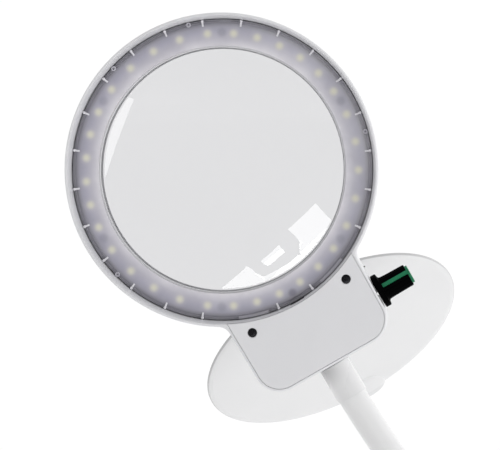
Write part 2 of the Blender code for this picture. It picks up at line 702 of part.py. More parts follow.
def build_collar(base, white, steel):
    """The neck's threaded socket on the base, held by a nut under the cover."""
    low = BASE_HEIGHT + GAP
    high = low + COLLAR_HEIGHT
    profile = [
        (4.5, 16.8),
        (7.8, 16.8),
        (7.8, low),
        (15.0, low),
        (15.0, low + 2.0),
        (13.8, low + 3.2),
        (10.0, low + 4.0),
        (9.2, high - 1.0),
        (8.6, high),
        (NECK_R + GAP, high),
        (NECK_R + GAP, 29.0),
        (4.5, 29.0),
    ]
    add("neck_base_collar", revolve(profile, 24), base, white, (NECK_X, 0, 0))
    add_nut("neck_base_nut", 13.0, 17.6, 21.5, 8.1, base, steel, (NECK_X, 0, 0))


def build_inlet(base, black, steel):
    """The round power socket in the base's rear edge, with its centre pin and its nut."""
    axis = empty("inlet_axis", (0, 0, INLET_Z), (0, 90, 0), base)
    profile = [
        (0, 80.6),
        (4.4, 80.6),
        (4.4, 95.3),
        (5.8, 95.3),
        (5.8, 96.3),
        (5.2, 96.6),
        (2.8, 96.6),
        (2.8, 86.0),
        (1.0, 86.0),
        (1.0, 94.5),
        (0, 95.0),
    ]
    add("power_inlet", revolve(profile, 16), axis, black)
    add_nut("power_inlet_nut", 6.6, 88.0, 90.2, 4.7, axis, steel)


def main():
    """Builds every sub-part in its own frame."""
    for old in list(bpy.data.objects):
        bpy.data.objects.remove(old)
    white = material("white_plastic", (0.80, 0.80, 0.82), 0.35)
    cover_white = material("cover_plastic", (0.84, 0.84, 0.84), 0.4)
    paint = material("white_paint", (0.82, 0.82, 0.82), 0.3)
    black = material("black_plastic", (0.01, 0.01, 0.012), 0.4)
    screw_black = material("black_screw", (0.02, 0.02, 0.02), 0.35, 0.8)
    green = material("green_plastic", (0.02, 0.22, 0.09), 0.45)
    glass = material("lens_glass", (0.95, 0.97, 0.97), 0.02, 0.0, 0.35)
    frosted = material("frosted_plastic", (0.70, 0.70, 0.74), 0.5)
    board_white = material("white_board", (0.75, 0.75, 0.70), 0.5)
    board_green = material("green_board", (0.02, 0.18, 0.08), 0.5)
    steel = material("zinc_steel", (0.62, 0.62, 0.62), 0.3, 1.0)
    iron = material("cast_iron", (0.12, 0.12, 0.12), 0.7, 0.9)
    rubber = material("grey_rubber", (0.16, 0.16, 0.16), 0.8)
    sleeve = material("neck_vinyl", (0.80, 0.80, 0.80), 0.45)
    foam = material("black_foam", (0.03, 0.03, 0.03), 0.95)
    lead = material("lead_vinyl", (0.55, 0.55, 0.55), 0.5)

    last = neck_joints()[-1]
    lean = math.radians(HEAD_LEAN)
    reach = HANDLE_END + FERRULE_LENGTH + HEAD_STUB
    centre = last + reach * Vector((-math.sin(lean), 0, math.cos(lean))) + Vector((0, HANDLE_MID_Z, 0))
    head = empty("head_frame", centre, (90, -HEAD_LEAN, 0))
    base = empty("base_frame", (0, 0, 0))
    bpy.context.view_layer.update()

    build_head_shell(head, white)
    build_handle_cover(head, white, screw_black)
    build_lens(head, glass, rubber, white)
    build_light_ring(head, board_white, screw_black, frosted)
    build_driver(head, board_green, black, steel, lead)
    build_dimmer(head, black, steel, green)
    socket = build_ferrule(head, paint, steel)
    build_cover_hinge(head, white, steel)
    build_lens_cover(head, cover_white)
    build_neck(base, socket, sleeve, steel)
    build_power_lead(base, head, lead)
    build_base(base, white, iron, steel, foam)
    build_collar(base, paint, steel)
    build_inlet(base, black, steel)


main()
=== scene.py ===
"""Looks for the magnifying lamp, in millimetres in each piece's own frame and metres in the row frame."""

import json
import math

import bmesh
import bpy
from mathutils import Matrix, Vector


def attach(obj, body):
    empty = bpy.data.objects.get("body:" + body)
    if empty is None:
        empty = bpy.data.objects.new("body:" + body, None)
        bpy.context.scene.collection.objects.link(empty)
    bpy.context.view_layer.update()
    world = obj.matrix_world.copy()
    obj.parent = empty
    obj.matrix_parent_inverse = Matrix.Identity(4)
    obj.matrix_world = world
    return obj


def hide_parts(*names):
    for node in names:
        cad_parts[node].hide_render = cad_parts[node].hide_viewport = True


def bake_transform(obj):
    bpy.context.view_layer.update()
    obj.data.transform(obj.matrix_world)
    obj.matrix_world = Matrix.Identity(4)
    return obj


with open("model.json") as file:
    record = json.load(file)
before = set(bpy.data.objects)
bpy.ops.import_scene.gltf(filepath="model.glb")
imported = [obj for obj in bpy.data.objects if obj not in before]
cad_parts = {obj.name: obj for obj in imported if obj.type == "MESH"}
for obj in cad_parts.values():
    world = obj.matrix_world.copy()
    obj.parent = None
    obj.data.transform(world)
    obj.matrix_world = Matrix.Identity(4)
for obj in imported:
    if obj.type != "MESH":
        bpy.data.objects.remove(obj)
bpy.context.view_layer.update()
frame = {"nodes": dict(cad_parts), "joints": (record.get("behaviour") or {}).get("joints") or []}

MM = 0.001
GAP = 0.3
CUT = "DIFFERENCE"
JOIN = "UNION"
NODES = frame["nodes"]
JOINTS = {joint["name"]: joint for joint in frame["joints"]}

# Head, in its own frame: x right, y away from the handle, z out of the lighted face
HEAD_DEPTH = 22.0
SHELL_R = 78.0
RIM_INNER_R = 76.3
CHANNEL_R = (65.2, 75.3)  # the light's trough
WALL = 2.0
LENS_R = 63.5
LENS_MID_Z = -14.5
LENS_EDGE = 2.5
LENS_SAG = 5.8
LENS_SEAT_R = 60.0
LENS_SEAT_Z = -17.6
SPOT_R = 13.4
SPOT_CURVE_R = 42.0
SPOT_TURN = (7.85, 0.2)  # degrees about x and y, away from the lens centre
SPOT_LIMIT_R = 57.0
COLLAR_TOP_Z = -9.4
HANDLE_END = 111.5
HANDLE_CORNER_R = 13.0
HANDLE_HALF_TOP = 36.8
HANDLE_HALF_END = 36.3
HANDLE_FLARE_R = 7.0
HANDLE_MID_Z = -HEAD_DEPTH / 2
PLATE_THICKNESS = 1.9
PLATE_INSET = 1.5
PLATE_ARC_R = 76.7
COVER_SCREW = (26.8, -77.7)
BOARD_BACK_Z = -14.8
BOARD_SCREW_R = 68.4
BOARD_SCREW_ANGLES = (30, 90, 150, 210, 270, 330)
LED_R = 68.0
PLUG_SPOT_R = 70.6
LED_STEPS = (5, 15, 25, 36, 48, 60)  # degrees each side of a third's middle
RIB_ANGLES = [7.5 + 15 * i for i in range(24) if i not in (1, 22)]
PIN_ANGLES = (75, -75, 163, -163)
DIFFUSER_R = (61.7, 73.8)
DIFFUSER_Z = (-8.4, -7.0)

DIMMER_Y = -91.6
KNOB_START = 37.0
KNOB_FLANGE_R = 8.7
KNOB_FLANGE = 3.0
KNOB_R = 5.8
KNOB_LENGTH = 17.4
POINTER_TURN = 71.0

HINGE_Y = -67.1
HINGE_Z = -24.8
HINGE_R = 2.5
HINGE_SCREW = (10.0, HINGE_Y - 10.6)
PIN_R = 1.2
COVER_R = 71.5
COVER_OFFSET = 3.0
COVER_THICKNESS = 1.6
COVER_OPEN = 121.0
KNUCKLE_HALF = 13.1
COVER_HOLE = (35.6, COVER_R + COVER_OFFSET - 54.0)
COVER_HOLE_R = 1.1
LUG_OUTER = 19.0

NECK_R = 7.3
NECK_BORE_R = 5.6
CORE_R = (2.6, 5.2)
LEAD_R = 1.5
NECK_FOOT_Z = 29.4
BEND_BELOW = 14.0  # the first joint, where the neck starts to bend
BEND_ABOVE = 8.0  # the last joint, where it stops
NECK_TOP = 11.4
FERRULE_R = 8.0
FERRULE_LENGTH = 18.5
BASE_R = 95.0
BASE_HEIGHT = 24.0
COLLAR_HEIGHT = 19.0
INLET_Z = 11.5
POST_R = 83.0
POST_ANGLES = (90, 330)


def point_of(joint):
    """A joint's place in millimetres."""
    return Vector(JOINTS[joint]["pos_m"]) / MM


def head_matrix():
    """The head's frame, from the dimmer's axis."""
    x_axis = Vector(JOINTS["dimmer_turn"]["axis"]).normalized()
    z_axis = Vector((0, -1, 0))
    y_axis = z_axis.cross(x_axis)
    origin = point_of("dimmer_turn") - DIMMER_Y * y_axis - HANDLE_MID_Z * z_axis
    turn = Matrix((x_axis, y_axis, z_axis)).transposed()
    return Matrix.Translation(origin) @ turn.to_4x4()


def about(axis, degrees):
    """A turn as a 4 x 4 matrix."""
    return Matrix.Rotation(math.radians(degrees), 4, axis)


def at(x, y, z):
    """A shift as a 4 x 4 matrix."""
    return Matrix.Translation((x, y, z))


HEAD = head_matrix()
BASE = Matrix.Identity(4)
DIMMER = HEAD @ at(0, DIMMER_Y, HANDLE_MID_Z) @ about("Y", 90)
KNOB = DIMMER @ about("Z", POINTER_TURN)
COVER = HEAD @ at(0, HINGE_Y, HINGE_Z) @ about("X", -COVER_OPEN)
SOCKET = HEAD @ at(0, 0, HANDLE_MID_Z) @ about("X", 90)
INLET = at(0, 0, INLET_Z) @ about("Y", 90)
NECK_POINTS = [point_of(f"neck_bend_{i}") for i in range(1, 7)]
NECK_X = NECK_POINTS[0].x


# --- Mesh tools -------------------------------------------------------------


def arc(centre, radius, start, end, steps):
    """Points along an arc, in degrees."""
    angles = [math.radians(start + (end - start) * i / steps) for i in range(steps + 1)]
    return [(centre[0] + radius * math.cos(a), centre[1] + radius * math.sin(a)) for a in angles]


def polar(radius, degrees_from_handle, z=0.0):
    """A point at an angle measured from the handle, in the head's frame."""
    angle = math.radians(degrees_from_handle)
    return Vector((radius * math.sin(angle), -radius * math.cos(angle), z))


def outward(shape):
    """Turns the faces of a closed bmesh outwards."""
    bmesh.ops.recalc_face_normals(shape, faces=shape.faces)
    if shape.calc_volume(signed=True) < 0:
        bmesh.ops.reverse_faces(shape, faces=shape.faces)
    return shape


def skin(rings, closed):
    """Joins rings of points into a surface, closed into a loop or capped at both ends."""
    made = bmesh.new()
    verts = [[made.verts.new(point) for point in ring] for ring in rings]
    pairs = list(zip(verts, verts[1:]))
    if closed:
        pairs.append((verts[-1], verts[0]))
    for ring, above in pairs:
        for i in range(len(ring)):
            j = (i + 1) % len(ring)
            made.faces.new([ring[i], ring[j], above[j], above[i]])
    if not closed:
        made.faces.new(verts[0])
        made.faces.new(verts[-1])
    return outward(made)


def revolve(profile, steps=128, wave=None):
    """A closed (r, z) profile turned about z; r = 0 is a pole, and wave(angle, z) changes the radius."""
    made = bmesh.new()
    rings = []
    for r, z in profile:
        if r <= 0:
            rings.append([made.verts.new((0, 0, z))] * steps)
            continue
        ring = []
        for i in range(steps):
            a = 2 * math.pi * i / steps
            radius = r + (wave(a, z) if wave else 0)
            ring.append(made.verts.new((radius * math.cos(a), radius * math.sin(a), z)))
        rings.append(ring)
    for ring, above in zip(rings, rings[1:] + rings[:1]):
        if ring[0] is ring[1] and above[0] is above[1]:
            continue
        for i in range(steps):
            j = (i + 1) % steps
            corners = [ring[i], ring[j], above[j], above[i]]
            made.faces.new(list(dict.fromkeys(corners)))
    return outward(made)


def rounded(profile, radius, steps=4):
    """Rounds the corners of a closed (r, z) profile.  radius is one number, or one for each corner."""
    made = []
    count = len(profile)
    for i, corner in enumerate(profile):
        size = radius[i] if isinstance(radius, list) else radius
        before = Vector(profile[i - 1])
        after = Vector(profile[(i + 1) % count])
        here = Vector(corner)
        back = before - here
        ahead = after - here
        size = min(size, 0.45 * back.length, 0.45 * ahead.length)
        turn = abs(math.pi - back.angle(ahead)) if back.length > 0 and ahead.length > 0 else 0
        if size <= 0 or turn < 0.05 or here.x <= 0:
            made.append(corner)
            continue
        start = here + back.normalized() * size
        end = here + ahead.normalized() * size
        for k in range(steps + 1):
            t = k / steps
            place = start * (1 - t) ** 2 + here * 2 * t * (1 - t) + end * t**2
            made.append((place.x, place.y))
    return made


def inset_outline(points, distance):
    """A closed outline moved inwards."""
    count = len(points)
    area = sum(points[i - 1][0] * points[i][1] - points[i][0] * points[i - 1][1] for i in range(count))
    side = 1 if area > 0 else -1
    made = []
    for i in range(count):
        here = Vector(points[i])
        a = (here - Vector(points[i - 1])).normalized()
        b = (Vector(points[(i + 1) % count]) - here).normalized()
        normal_a = Vector((-a.y, a.x)) * side
        normal_b = Vector((-b.y, b.x)) * side
        middle = (normal_a + normal_b).normalized()
        made.append(tuple(here + middle * distance / max(0.5, middle.dot(normal_a))))
    return made


def slab(outline, low, high, round_low=0.0, round_high=0.0, steps=6):
    """An outline pulled from low to high, with rounded lower and upper edges."""

    def edge(level, size):
        """Insets and heights round one edge, from the flat face to the side; a negative size goes down."""
        turns = [math.pi / 2 * k / steps for k in range(steps + 1)] if size else [math.pi / 2]
        return [(abs(size) * (1 - math.sin(a)), level + size * (1 - math.cos(a))) for a in turns]

    rings = []
    for inset, z in edge(low, round_low) + edge(high, -round_high)[::-1]:
        shrunk = inset_outline(outline, inset) if inset > 0 else outline
        rings.append([(x, y, z) for x, y in shrunk])
    return skin(rings, False)


def disc(radius, low, high, steps=32, round_low=0.0, round_high=0.0):
    """A short cylinder along z, turned a little so that its corners stay off its neighbours' corners."""
    return slab(arc((0, 0), radius, 5, 365, steps)[:-1], low, high, round_low, round_high)


def both_sides(x, y):
    """The same point on the left and on the right."""
    return [(-x, y, 0), (x, y, 0)]


def discs_at(points, *sizes):
    """A disc of these sizes at each point."""
    return [moved(disc(*sizes), point) for point in points]


def box(low, high, edge=0.0):
    """A box between two corners, with an edge rounding."""
    outline = [(low[0], low[1]), (high[0], low[1]), (high[0], high[1]), (low[0], high[1])]
    made = slab(outline, low[2], high[2])
    if edge > 0:
        bmesh.ops.bevel(made, geom=list(made.edges), offset=edge, segments=3, affect="EDGES", profile=0.5)
        outward(made)
    return made


def moved(shape, offset, turn=0.0):
    """A bmesh turned about z by degrees and then moved."""
    bmesh.ops.rotate(shape, cent=(0, 0, 0), matrix=about("Z", turn).to_3x3(), verts=shape.verts)
    bmesh.ops.translate(shape, vec=offset, verts=shape.verts)
    return shape


def turned(shape, matrix):
    """A bmesh placed by a matrix."""
    shape.transform(matrix)
    return shape


def merge(shapes):
    """Several separate bmeshes as one."""
    made = bmesh.new()
    for shape in shapes:
        mesh = bpy.data.meshes.new("part")
        shape.to_mesh(mesh)
        shape.free()
        made.from_mesh(mesh)
        bpy.data.meshes.remove(mesh)
    return made


def linked(name, data):
    """A new object in the scene."""
    made = bpy.data.objects.new(name, data)
    bpy.context.scene.collection.objects.link(made)
    return made


def loose(name, shape):
    """A bmesh as a plain object."""
    mesh = bpy.data.meshes.new(name)
    shape.to_mesh(mesh)
    shape.free()
    return linked(name, mesh)


def carve(shape, steps):
    """Cuts and joins other bmeshes, given as (operation, bmesh), in order, into a new bmesh."""
    target = loose("target", shape)
    tools = []
    for operation, tool_shape in steps:
        tool = loose("tool", tool_shape)
        tools.append(tool)
        step = target.modifiers.new("step", "BOOLEAN")
        step.operation = operation
        step.object = tool
        step.solver = "EXACT"
    bpy.context.view_layer.update()
    graph = bpy.context.evaluated_depsgraph_get()
    mesh = bpy.data.meshes.new_from_object(target.evaluated_get(graph), depsgraph=graph)
    made = bmesh.new()
    made.from_mesh(mesh)
    bpy.data.meshes.remove(mesh)
    for item in [target] + tools:
        bpy.data.objects.remove(item)
    return made


def place(name, shape, matrix, finish, angle=35):
    """A bmesh in millimetres as an object in the row frame, with its place in its mesh, like a CAD node."""
    made = loose(name, turned(shape, Matrix.Scale(MM, 4) @ matrix))
    made.data.shade_smooth()
    made.data.set_sharp_from_angle(angle=math.radians(angle))
    made.data.materials.append(finish)
    weights = made.modifiers.new("even_normals", "WEIGHTED_NORMAL")
    weights.keep_sharp = True
    weights.weight = 100
    return made


def piece(name, shape, matrix, finish, body, nodes, angle=35):
    """A finished piece that rides on a body and stands for CAD nodes."""
    made = place(name, shape, matrix, finish, angle)
    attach(made, body)
    if nodes:
        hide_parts(*nodes)
    return made


# --- Materials --------------------------------------------------------------


class Graph:
    """A small writer of shader nodes."""

    def __init__(self, tree):
        self.tree = tree

    def node(self, kind, **settings):
        made = self.tree.nodes.new(kind)
        for key, value in settings.items():
            setattr(made, key, value)
        return made

    def feed(self, socket, value):
        if isinstance(value, bpy.types.NodeSocket):
            self.tree.links.new(value, socket)
        else:
            socket.default_value = value

    def math(self, operation, a, b=0.0):
        made = self.node("ShaderNodeMath", operation=operation)
        self.feed(made.inputs[0], a)
        self.feed(made.inputs[1], b)
        return made.outputs[0]

    def times(self, a, b):
        return self.math("MULTIPLY", a, b)

    def length(self, a, b):
        return self.math("SQRT", self.math("ADD", self.times(a, a), self.times(b, b)))

    def dot(self, vector, direction):
        made = self.node("ShaderNodeVectorMath", operation="DOT_PRODUCT")
        self.feed(made.inputs[0], vector)
        made.inputs[1].default_value = direction
        return made.outputs["Value"]

    def shifted(self, vector, offset):
        made = self.node("ShaderNodeVectorMath", operation="SUBTRACT")
        self.feed(made.inputs[0], vector)
        made.inputs[1].default_value = offset
        return made.outputs["Vector"]

    def span(self, value, low, high, out_low, out_high, smooth=False):
        made = self.node("ShaderNodeMapRange")
        if smooth:
            made.interpolation_type = "SMOOTHSTEP"
        self.feed(made.inputs["Value"], value)
        sockets = ("From Min", "From Max", "To Min", "To Max")
        for socket, number in zip(sockets, (low, high, out_low, out_high)):
            self.feed(made.inputs[socket], number)
        return made.outputs["Result"]

    def ramp(self, value, stops):
        made = self.node("ShaderNodeValToRGB")
        self.feed(made.inputs["Fac"], value)
        elements = made.color_ramp.elements
        elements.remove(elements[1])
        elements[0].position = stops[0][0]
        elements[0].color = (*stops[0][1], 1.0)
        for position, colour in stops[1:]:
            elements.new(position).color = (*colour, 1.0)
        return made.outputs["Color"]

    def mix(self, share, a, b):
        made = self.node("ShaderNodeMix", data_type="RGBA")
        self.feed(made.inputs["Factor"], share)
        for socket, tone in ((6, a), (7, b)):
            self.feed(made.inputs[socket], (*tone, 1.0) if isinstance(tone, tuple) else tone)
        return made.outputs[2]


class Nodes(Graph):
    """The nodes of one material, round its Principled shader."""

    def __init__(self, name):
        self.material = bpy.data.materials.new(name)
        self.material.use_nodes = True
        super().__init__(self.material.node_tree)
        self.shader = self.tree.nodes["Principled BSDF"]
        self.coordinates = self.node("ShaderNodeTexCoord").outputs["Object"]

    def noise(self, scale, detail=3.0, roughness=0.5):
        made = self.node("ShaderNodeTexNoise")
        self.feed(made.inputs["Vector"], self.coordinates)
        made.inputs["Scale"].default_value = scale
        made.inputs["Detail"].default_value = detail
        made.inputs["Roughness"].default_value = roughness
        return made.outputs["Fac"]

    def cells(self, scale, **settings):
        made = self.node("ShaderNodeTexVoronoi", feature="DISTANCE_TO_EDGE", **settings)
        self.feed(made.inputs["Vector"], self.coordinates)
        made.inputs["Scale"].default_value = scale
        return made.outputs["Distance"]

    def uneven(self, scale, low, high, detail=4.0):
        """A number that drifts between two values."""
        return self.span(self.noise(scale, detail), 0.3, 0.7, low, high)

    def drift(self, scale, a, b, detail=3.0):
        """A colour that drifts between two tones."""
        return self.mix(self.uneven(scale, 0.0, 1.0, detail), a, b)

    def place_in(self, turn, origin):
        """x, y and the distance from the axis, in millimetres, in a frame with this turn and origin."""
        local = self.shifted(self.coordinates, tuple(origin * MM))
        x = self.times(self.dot(local, tuple(turn.col[0])), 1 / MM)
        y = self.times(self.dot(local, tuple(turn.col[1])), 1 / MM)
        return x, y, self.length(x, y)

    def bump(self, height, strength, distance):
        made = self.node("ShaderNodeBump")
        self.feed(made.inputs["Height"], height)
        made.inputs["Strength"].default_value = strength
        made.inputs["Distance"].default_value = distance
        self.feed(self.shader.inputs["Normal"], made.outputs["Normal"])

    def put(self, **sockets):
        for key, value in sockets.items():
            self.feed(self.shader.inputs[key.replace("_", " ")], value)


def moulded(name, colour, roughness, grain=0.03, grain_scale=1400.0, tint=0.03, ior=1.5):
    """Moulded plastic: a slight drift of tone, a fine spark-eroded grain and uneven gloss."""
    m = Nodes(name)
    dark = tuple(c * (1 - tint) for c in colour)
    light = tuple(min(1.0, c * (1 + tint * 0.5)) for c in colour)
    m.put(Base_Color=m.drift(14.0, dark, light), IOR=ior)
    m.put(Roughness=m.uneven(60.0, roughness - 0.04, roughness + 0.05))
    m.bump(m.noise(grain_scale, 2.0, 0.6), 0.25, grain * MM)
    return m.material


def cover_plastic_with_edge_shade():
    """The cover's thin white plastic, with painted shade along its edge, strongest beside the hinge."""
    m = Nodes("visual_cover_white")
    turn = COVER.to_3x3()
    centre = COVER.translation + turn @ Vector((0, COVER_R + COVER_OFFSET, 0))
    y, radius = m.place_in(turn, centre)[1:]
    face = m.drift(14.0, (0.785, 0.785, 0.79), (0.815, 0.815, 0.82))
    # Painted shade: a grey band along the cover's edge, strongest towards the hinge, where the housing shades
    # it.
    edge = m.span(radius, COVER_R - 0.9, COVER_R - 0.1, 0.0, 1.0, smooth=True)
    share = m.times(edge, m.span(y, -40.0, 40.0, 1.0, 0.2))
    m.put(Base_Color=m.mix(share, face, (0.50, 0.50, 0.505)), Roughness=m.uneven(60.0, 0.34, 0.43))
    m.bump(m.noise(1400.0, 2.0, 0.6), 0.25, 0.02 * MM)
    return m.material


def socket_paint_with_shade():
    """The neck socket's paint, with painted shade at the left under the handle."""
    m = Nodes("visual_socket_paint")
    turn = SOCKET.to_3x3()
    local = m.shifted(m.coordinates, tuple((SOCKET.translation + turn.col[2] * HANDLE_END) * MM))
    down = m.span(m.dot(local, tuple(turn.col[2])), 0.0, 0.012, 1.0, 0.0, smooth=True)
    left = m.span(m.dot(local, tuple(HEAD.to_3x3().col[0])), -0.007, 0.006, 1.0, 0.0, smooth=True)
    # Painted shade: greyer at the left just below the handle, where the handle shades the socket.
    m.put(Base_Color=m.mix(m.times(down, left), (0.80, 0.80, 0.805), (0.50, 0.50, 0.505)))
    m.put(Roughness=m.uneven(60.0, 0.24, 0.33))
    m.bump(m.noise(600.0, 2.0, 0.6), 0.25, 0.015 * MM)
    return m.material


def metal(name, colour, roughness):
    """Plated or plain metal with a fine uneven finish."""
    m = Nodes(name)
    spots = m.noise(220.0, 5.0, 0.6)
    dark = tuple(c * 0.82 for c in colour)
    m.put(Base_Color=m.mix(m.span(spots, 0.35, 0.7, 0.0, 1.0), dark, colour), Metallic=1.0)
    m.put(Roughness=m.uneven(120.0, roughness - 0.07, roughness + 0.1))
    m.bump(m.noise(900.0, 3.0), 0.2, 0.02 * MM)
    return m.material


def iron():
    """Rough painted cast iron."""
    m = Nodes("visual_iron")
    tones = [(0.35, (0.035, 0.035, 0.036)), (0.7, (0.11, 0.105, 0.1))]
    m.put(Base_Color=m.ramp(m.noise(300.0, 6.0, 0.7), tones))
    m.put(Roughness=m.uneven(150.0, 0.55, 0.8), Metallic=0.6)
    m.bump(m.noise(420.0, 6.0, 0.7), 0.6, 0.25 * MM)
    return m.material


def foam():
    """Black closed-cell foam."""
    m = Nodes("visual_foam")
    tones = [(0.3, (0.012, 0.012, 0.013)), (0.7, (0.035, 0.035, 0.036))]
    m.put(Base_Color=m.ramp(m.noise(700.0, 4.0), tones), Roughness=0.92)
    m.bump(m.cells(1600.0), 0.5, 0.25 * MM)
    return m.material


def vinyl():
    """The neck's smooth white sleeve, with a soft gloss and a faint unevenness."""
    m = Nodes("visual_vinyl")
    m.put(Base_Color=m.drift(18.0, (0.79, 0.79, 0.795), (0.84, 0.84, 0.843)))
    m.put(Roughness=m.uneven(70.0, 0.36, 0.46))
    m.bump(m.noise(110.0, 3.0), 0.25, 0.12 * MM)
    m.put(Subsurface_Weight=0.08, Subsurface_Radius=(0.003, 0.003, 0.003))
    return m.material


def glass():
    """The lens."""
    m = Nodes("visual_glass")
    tone = m.drift(9.0, (0.738, 0.738, 0.750), (0.750, 0.750, 0.762), 2.0)
    m.put(Base_Color=tone, Roughness=0.0, Transmission_Weight=1.0, IOR=1.5)
    return m.material


def diffuser():
    """Frosted plastic: the light board's soft shade, its diodes' cream blurs and its screws' dark ones, with
    a painted highlight along the outer rim and painted light towards the right.
    """
    m = Nodes("visual_diffuser")
    x, y, radius = m.place_in(HEAD.to_3x3(), HEAD.translation)
    angle = m.times(m.math("ARCTAN2", x, m.times(y, -1.0)), 180 / math.pi)

    def wrapped(offset, period):
        """Degrees to the nearest of the angles that repeat every period from offset."""
        made = m.node("ShaderNodeMath", operation="WRAP")
        m.feed(made.inputs[0], m.math("SUBTRACT", angle, offset))
        made.inputs[1].default_value = period / 2
        made.inputs[2].default_value = -period / 2
        return m.math("ABSOLUTE", made.outputs[0])

    def blob(away, ring_r, inner, outer):
        """1 at a spot on the ring, 0 beyond outer millimetres from it."""
        along = m.times(away, math.pi / 180 * ring_r)
        across = m.math("SUBTRACT", radius, ring_r)
        return m.span(m.length(along, across), inner, outer, 1.0, 0.0, smooth=True)

    # The ramp darkens the ring towards its outer edge; its stop at 0.915 is a painted highlight, a light line
    # along the outer rim.
    shade = m.ramp(
        m.span(radius, 61.0, 75.0, 0.0, 1.0),
        [
            (0.0, (0.82, 0.80, 0.84)), (0.14, (0.74, 0.72, 0.77)), (0.34, (0.57, 0.555, 0.62)),
            (0.55, (0.46, 0.45, 0.535)), (0.72, (0.38, 0.37, 0.44)), (0.83, (0.25, 0.245, 0.275)),
            (0.88, (0.25, 0.245, 0.275)), (0.915, (0.42, 0.41, 0.45)), (0.95, (0.36, 0.355, 0.39)),
        ],
    )
    # Painted light: the ring turns lighter towards the right, where more light falls.
    shade = m.mix(m.span(x, 25.0, 75.0, 0.0, 0.3), shade, (0.86, 0.85, 0.89))
    patches = m.noise(55.0, 3.0, 0.55)
    shade = m.mix(m.span(patches, 0.35, 0.7, 0.0, 0.35), shade, (0.31, 0.30, 0.37))
    sector = wrapped(0.0, 120.0)
    glow = None
    halo = None
    for step in LED_STEPS:
        away = m.math("ABSOLUTE", m.math("SUBTRACT", sector, step))
        core = blob(away, LED_R, 0.3, 3.0)
        wide = blob(away, LED_R, 1.4, 4.8)
        glow = core if glow is None else m.math("MAXIMUM", glow, core)
        halo = wide if halo is None else m.math("MAXIMUM", halo, wide)
    shade = m.mix(m.times(halo, 0.28), shade, (0.66, 0.64, 0.64))
    screws = blob(wrapped(30.0, 60.0), BOARD_SCREW_R, 0.8, 3.4)
    shade = m.mix(m.times(screws, 0.32), shade, (0.20, 0.195, 0.25))
    plug = blob(wrapped(0.0, 360.0), PLUG_SPOT_R, 0.8, 3.0)
    shade = m.mix(m.times(plug, 0.55), shade, (0.14, 0.135, 0.17))
    shade = m.mix(m.times(glow, 0.8), shade, (0.78, 0.76, 0.62))
    m.put(Base_Color=shade, Roughness=0.34, Specular_IOR_Level=0.45)
    m.bump(m.noise(900.0, 3.0), 0.12, 0.03 * MM)
    return m.material


def board(name, low, high):
    """A circuit board's solder mask with faint tracks."""
    m = Nodes(name)
    line = m.span(m.cells(260.0, distance="MANHATTAN"), 0.03, 0.07, 1.0, 0.0)
    m.put(Base_Color=m.mix(m.times(line, 0.6), low, high))
    m.put(Roughness=m.uneven(90.0, 0.3, 0.45, 3.0))
    m.bump(line, 0.3, 0.03 * MM)
    return m.material


WHITE = moulded("visual_white", (0.78, 0.78, 0.80), 0.34, grain=0.012)
COVER_WHITE = cover_plastic_with_edge_shade()
PAINT = moulded("visual_paint", (0.82, 0.82, 0.825), 0.28, grain=0.015, grain_scale=600.0)
SOCKET_PAINT_WITH_SHADE = socket_paint_with_shade()
RIB = moulded("visual_rib", (0.80, 0.79, 0.83), 0.25, grain=0.01)
PIN = moulded("visual_pin", (0.50, 0.49, 0.54), 0.3, grain=0.01)
# Painted light: the seal is coloured much lighter than rubber, standing in for the light that reaches it only
# through the lens.
SEAL = moulded("visual_seal", (0.68, 0.68, 0.69), 0.6)
BLACK = moulded("visual_black", (0.0015, 0.0015, 0.0018), 0.45, grain=0.02, tint=0.2, ior=1.04)
SCREW = metal("visual_screw", (0.016, 0.016, 0.018), 0.34)
GREEN = moulded("visual_green", (0.011, 0.185, 0.082), 0.45, grain=0.02, tint=0.12, ior=1.3)
STEEL = metal("visual_steel", (0.60, 0.60, 0.60), 0.3)
IRON = iron()
FOAM = foam()
VINYL = vinyl()
GLASS = glass()
FROSTED = diffuser()
# Painted shade: a dark grey for the discs that fill the cover's holes.
HOLE_SHADE = moulded("visual_hole_shade", (0.12, 0.12, 0.12), 0.75, grain=0.05)
LEAD = moulded("visual_lead", (0.5, 0.5, 0.5), 0.5)
BOARD_WHITE = board("visual_board_white", (0.72, 0.72, 0.70), (0.62, 0.62, 0.60))
BOARD_GREEN = board("visual_board_green", (0.015, 0.14, 0.05), (0.03, 0.24, 0.09))


# --- Head -------------------------------------------------------------------


def mirror_outline(right_side):
    """Points down the right side, then up the left side."""
    return right_side + [(-x, y) for x, y in reversed(right_side)]


def handle_side(inset, steps=20):
    """The handle's right side and lower corner, moved inwards by inset, from top to bottom."""
    corner = (HANDLE_HALF_END - HANDLE_CORNER_R, -HANDLE_END + HANDLE_CORNER_R)
    return [(HANDLE_HALF_TOP - inset, -72.0)] + arc(corner, HANDLE_CORNER_R - inset, 0, -90, steps)


def shell_outline():
    """The ring with the handle flared into it."""
    flare_x = HANDLE_HALF_TOP + HANDLE_FLARE_R
    flare_y = -math.sqrt((SHELL_R + HANDLE_FLARE_R) ** 2 - flare_x**2)
    touch = math.degrees(math.atan2(flare_y, flare_x))
    flare = arc((flare_x, flare_y), HANDLE_FLARE_R, 180 + touch, 180, 12)
    right = arc((0, 0), SHELL_R, 90, touch, 110)[1:] + flare[1:] + handle_side(0)[1:]
    return [(0, SHELL_R)] + mirror_outline(right)


def handle_pocket(inset, ring_r):
    """The handle's outline moved inwards, closed at the top by an arc round the lens centre."""
    half = HANDLE_HALF_TOP - inset
    start = math.degrees(math.asin(half / ring_r))
    side = handle_side(inset)
    right = side if -ring_r * math.cos(math.radians(start)) > side[0][1] else side[1:]
    top = arc((0, 0), ring_r, -90 - start, -90 + start, 48)
    return top + right + [(-x, y) for x, y in reversed(right)]


